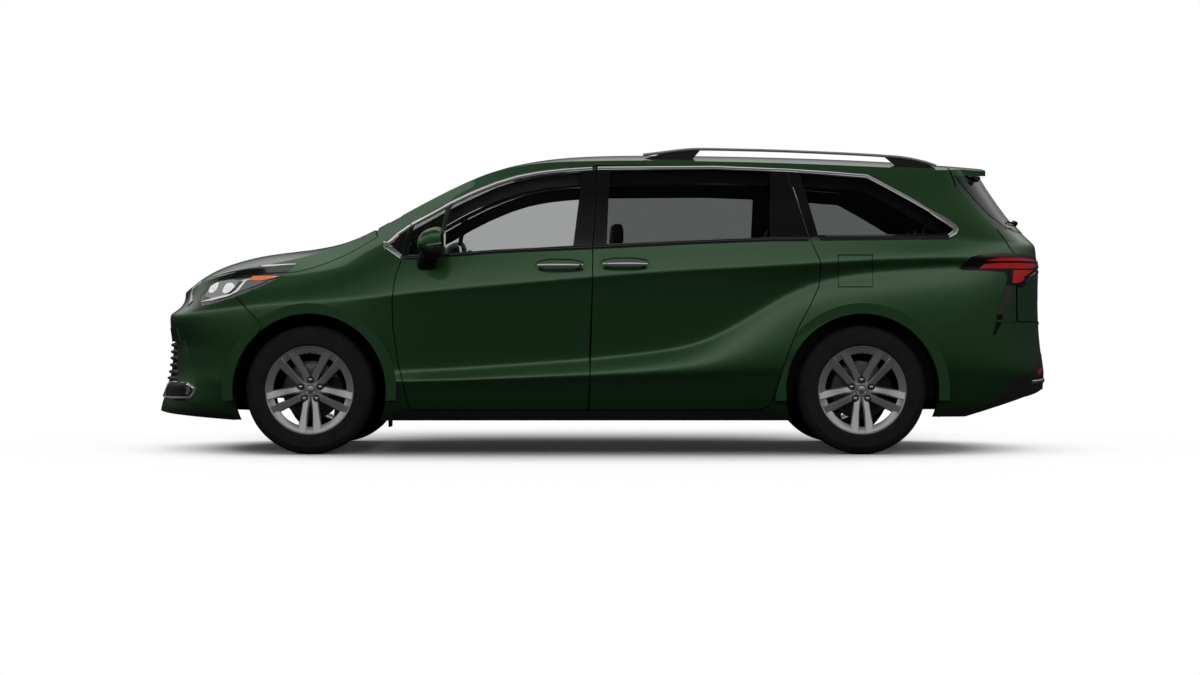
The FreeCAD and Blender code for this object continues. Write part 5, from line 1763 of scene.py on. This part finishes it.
def swell(made):
    """Stuffs the form by cloth pressure; no point moves further than the cap from where it was."""
    before = [v.co.copy() for v in made.data.vertices]
    cloth = made.modifiers.new("cloth", "CLOTH")
    cloth.settings.use_pressure = True
    cloth.settings.uniform_pressure_force = PAD_PRESSURE
    cloth.settings.effector_weights.gravity = 0.0
    cloth.settings.quality = 5
    cloth.point_cache.frame_start, cloth.point_cache.frame_end = 1, PAD_FRAMES
    scene = bpy.context.scene
    for frame_number in range(1, PAD_FRAMES + 1):
        scene.frame_set(frame_number)
    stuffed = made.evaluated_get(bpy.context.evaluated_depsgraph_get())
    after = [v.co.copy() for v in stuffed.data.vertices]
    made.modifiers.clear()
    for vertex, old, new in zip(made.data.vertices, before, after):
        move = new - old
        if move.length > PAD_SWELL:
            move = move.normalized() * PAD_SWELL
        vertex.co = old + move
    scene.frame_set(1)


def sewn(made, seams):
    """One subdivision, then a groove pressed in along each seam."""
    modifier = made.modifiers.new("fine", "SUBSURF")
    modifier.levels = 1
    fine = evaluated_mesh(made)
    made.modifiers.clear()
    made.data = fine
    normals = [v.normal.copy() for v in fine.vertices]
    for vertex, normal in zip(fine.vertices, normals):
        press = 0.0
        for axis, place, low, high, groove in seams:
            other = vertex.co[1 - axis] if axis < 2 else vertex.co[1]
            if low <= other <= high:
                press += groove * math.exp(-((vertex.co[axis] - place) / SEAM_WIDTH) ** 2)
        vertex.co -= normal * press
    fine.polygons.foreach_set("use_smooth", [True] * len(fine.polygons))


def base_rows():
    """The seat cushion, with raised bolsters."""
    rows = []
    for x, top, bottom, half in BASE_SECTIONS:
        row = [Vector((x, y * half, SEAT_BASE + top + rise)) for y, rise in BASE_FRONT]
        row += [Vector((x, y * half, SEAT_BASE + bottom)) for y in PAD_BACK]
        rows.append(row)
    return rows


def back_rows():
    """The backrest, leaning backwards, with bolsters at its sides."""
    rows = []
    for x, z, half, thick in BACK_SECTIONS:
        row = [Vector((x + rise, y * half, z)) for y, rise in BACK_FRONT]
        row += [Vector((x - thick, y * half, z)) for y in PAD_BACK]
        rows.append(row)
    return rows


def head_rows():
    rows = []
    for z, half, front, back in HEAD_SECTIONS:
        ring = (
            (front, -0.8), (front + 0.004, 0.0), (front, 0.8), (front - 0.02, 1.0), (back + 0.02, 1.0),
            (back, 0.8), (back, -0.8), (back + 0.02, -1.0), (front - 0.02, -1.0),
        )
        rows.append([Vector((x, y * half, z)) for x, y in ring])
    return rows


def placed_copy(source, name, x, y, width):
    """A padded piece in its place on one seat."""
    mesh = source.data.copy()
    mesh.name = name
    for vertex in mesh.vertices:
        vertex.co = Vector((vertex.co.x + x, vertex.co.y * width + y, vertex.co.z))
    mesh.materials.clear()
    mesh.materials.append(MATERIALS["leather"])
    made = new_object(name, mesh)
    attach(made, "body")
    return made


def seat_shell(label, x, y, width):
    """The hard back and the plinth."""
    rows = []
    for dx, z, half in SHELL_SECTIONS:
        row = [Vector((x + dx, y + share * half * width, z)) for share in (-1, -0.5, 0, 0.5, 1)]
        for share in (1, 0.5, 0, -0.5, -1):
            row.append(Vector((x + dx - 0.014 * (1 - abs(share)) - 0.01, y + share * half * width, z)))
        rows.append(row)
    half = 0.19 * width
    plinth = rounded_outline([
        (x - 0.5, y - half), (x - 0.08, y - half), (x - 0.08, y + half), (x - 0.5, y + half),
    ], 0.04)
    foot = [[Vector((p.x, p.y, z)) for p in plinth] for z in PLINTH_HEIGHTS]
    Shape(loft(rows), loft(foot)).make(f"seat_shell_{label}", "cabin", BODY, bevel=0.004)


def seat_stems(label, x, y):
    stems = Shape()
    for side in (-0.055, 0.055):
        stems.add(*tube_form([(x - 0.636, y + side, 1.08), (x - 0.64, y + side, 1.19)], 0.0065, 12))
    stems.make(f"seat_stems_{label}", "chrome", BODY)


def seats():
    """Stuffed cushions, backs and head restraints on hard shells and plinths."""
    pads = (("base", base_rows(), BASE_SEAMS), ("back", back_rows(), BACK_SEAMS), ("head", head_rows(), ()))
    templates = []
    for name, rows, seams in pads:
        made = cushion_mesh(f"template_{name}", rows)
        if name != "head":
            swell(made)
        sewn(made, seams)
        templates.append((name, made))
    for label, x, y, width in SEATS:
        for name, source in templates:
            piece = placed_copy(source, f"seat_{name}_{label}", x, y, width)
            if name == "base" and label in SEAT_NODES:
                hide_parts(SEAT_NODES[label])
        seat_shell(label, x, y, width)
        seat_stems(label, x, y)
    for _, source in templates:
        bpy.data.objects.remove(source)


# Linings and dashboard

HEADLINER = [(0.5, -0.5), (0.5, 0.5), (0.0, 0.56), (-1.9, 0.52), (-1.9, -0.52), (0.0, -0.56)]
DOOR_CARD = [(0.985, 1.075), (0.125, 1.095), (0.125, 0.5), (0.93, 0.5)]
ARMREST = [(0.76, 0.905), (0.25, 0.935), (0.25, 0.86), (0.7, 0.83)]
VENT_STARTS = (-0.7, -0.26, 0.16, 0.6)
VENT_WIDTH = 0.1
# The steering wheel's middle, the way it faces, and its pad as (radius, place along that way)
WHEEL_CENTRE = Vector((0.69, 0.38, 0.975))
WHEEL_AXIS = Vector((-0.9, 0, 0.43)).normalized()
WHEEL_PAD = ((0.01, 0.03), (0.06, 0.028), (0.074, 0.016), (0.074, 0.0), (0.05, -0.012))


def cabin_linings():
    """The headliner and the linings over the windows and on the front doors."""
    Shape(patch_form("top", HEADLINER, -0.075, step=0.08)).make("headliner", "cabin", BODY)
    high, low = moved_in(WINDOW_LINE, -0.01), moved_in(WINDOW_LINE, 0.066)
    over_windows = patch_form("side", high[3:-3] + low[3:-3][::-1], -0.064, step=0.04)
    Shape(over_windows).make_pair("roof_lining", "cabin", BODY)
    card = patch_form("side", rounded_outline(DOOR_CARD, 0.05), -0.084, step=0.05, rim=-0.0015)
    Shape(card).make_pair("door_card", "cabin", DOOR)
    rest = patch_form("side", rounded_outline(ARMREST, 0.03), -0.108, step=0.05, rim=-0.024)
    Shape(rest).make_pair("door_armrest", "leather", DOOR)


def dashboard_screen():
    outline = rounded_outline(upright_box(0.13, 1.085, 1.19), 0.012)
    sheets = [[Vector((x + 0.12 * (p.y - 1.1), p.x, p.y)) for p in outline] for x in (0.835, 0.855)]
    Shape(loft(sheets)).make("screen", "piano", BODY, bevel=0.001)


def dashboard_vents():
    vents = Shape()
    for start in VENT_STARTS:
        for k in range(4):
            z = 0.985 + 0.012 * k
            x = 0.8065 + 0.2 * (z - 0.93)
            rear, front, low, high = x - 0.006, x + 0.02, z - 0.003, z + 0.003
            blade = ((rear, low), (front, low), (front, high), (rear, high))
            vents.add(*loft([[Vector((u, y, v)) for u, v in blade] for y in (start, start + VENT_WIDTH)]))
    vents.make("vents", "silver", BODY, smooth=False, angle=0)


def wheel_pad():
    """The steering wheel's spokes and pad."""
    across = Vector((0, 1, 0))
    over = across.cross(WHEEL_AXIS)
    pad = Shape()
    for a in (0.0, math.pi, 1.5 * math.pi):
        way = across * math.cos(a) + over * math.sin(a)
        start, end = (WHEEL_CENTRE + way * reach + WHEEL_AXIS * 0.004 for reach in (0.04, 0.172))
        pad.add(*tube_form([start, start.lerp(end, 0.5), end], 0.0135))
    rings = []
    for radius, out in WHEEL_PAD:
        ring = []
        for k in range(32):
            a = k * math.pi / 16
            flat = across * (radius * 1.15 * math.cos(a)) + over * (radius * 0.9 * math.sin(a))
            ring.append(WHEEL_CENTRE + flat + WHEEL_AXIS * out)
        rings.append(ring)
    pad.add(*loft(rings))
    pad.make("wheel_pad", "cabin", BODY)


seats()
cabin_linings()
dashboard_screen()
dashboard_vents()
wheel_pad()
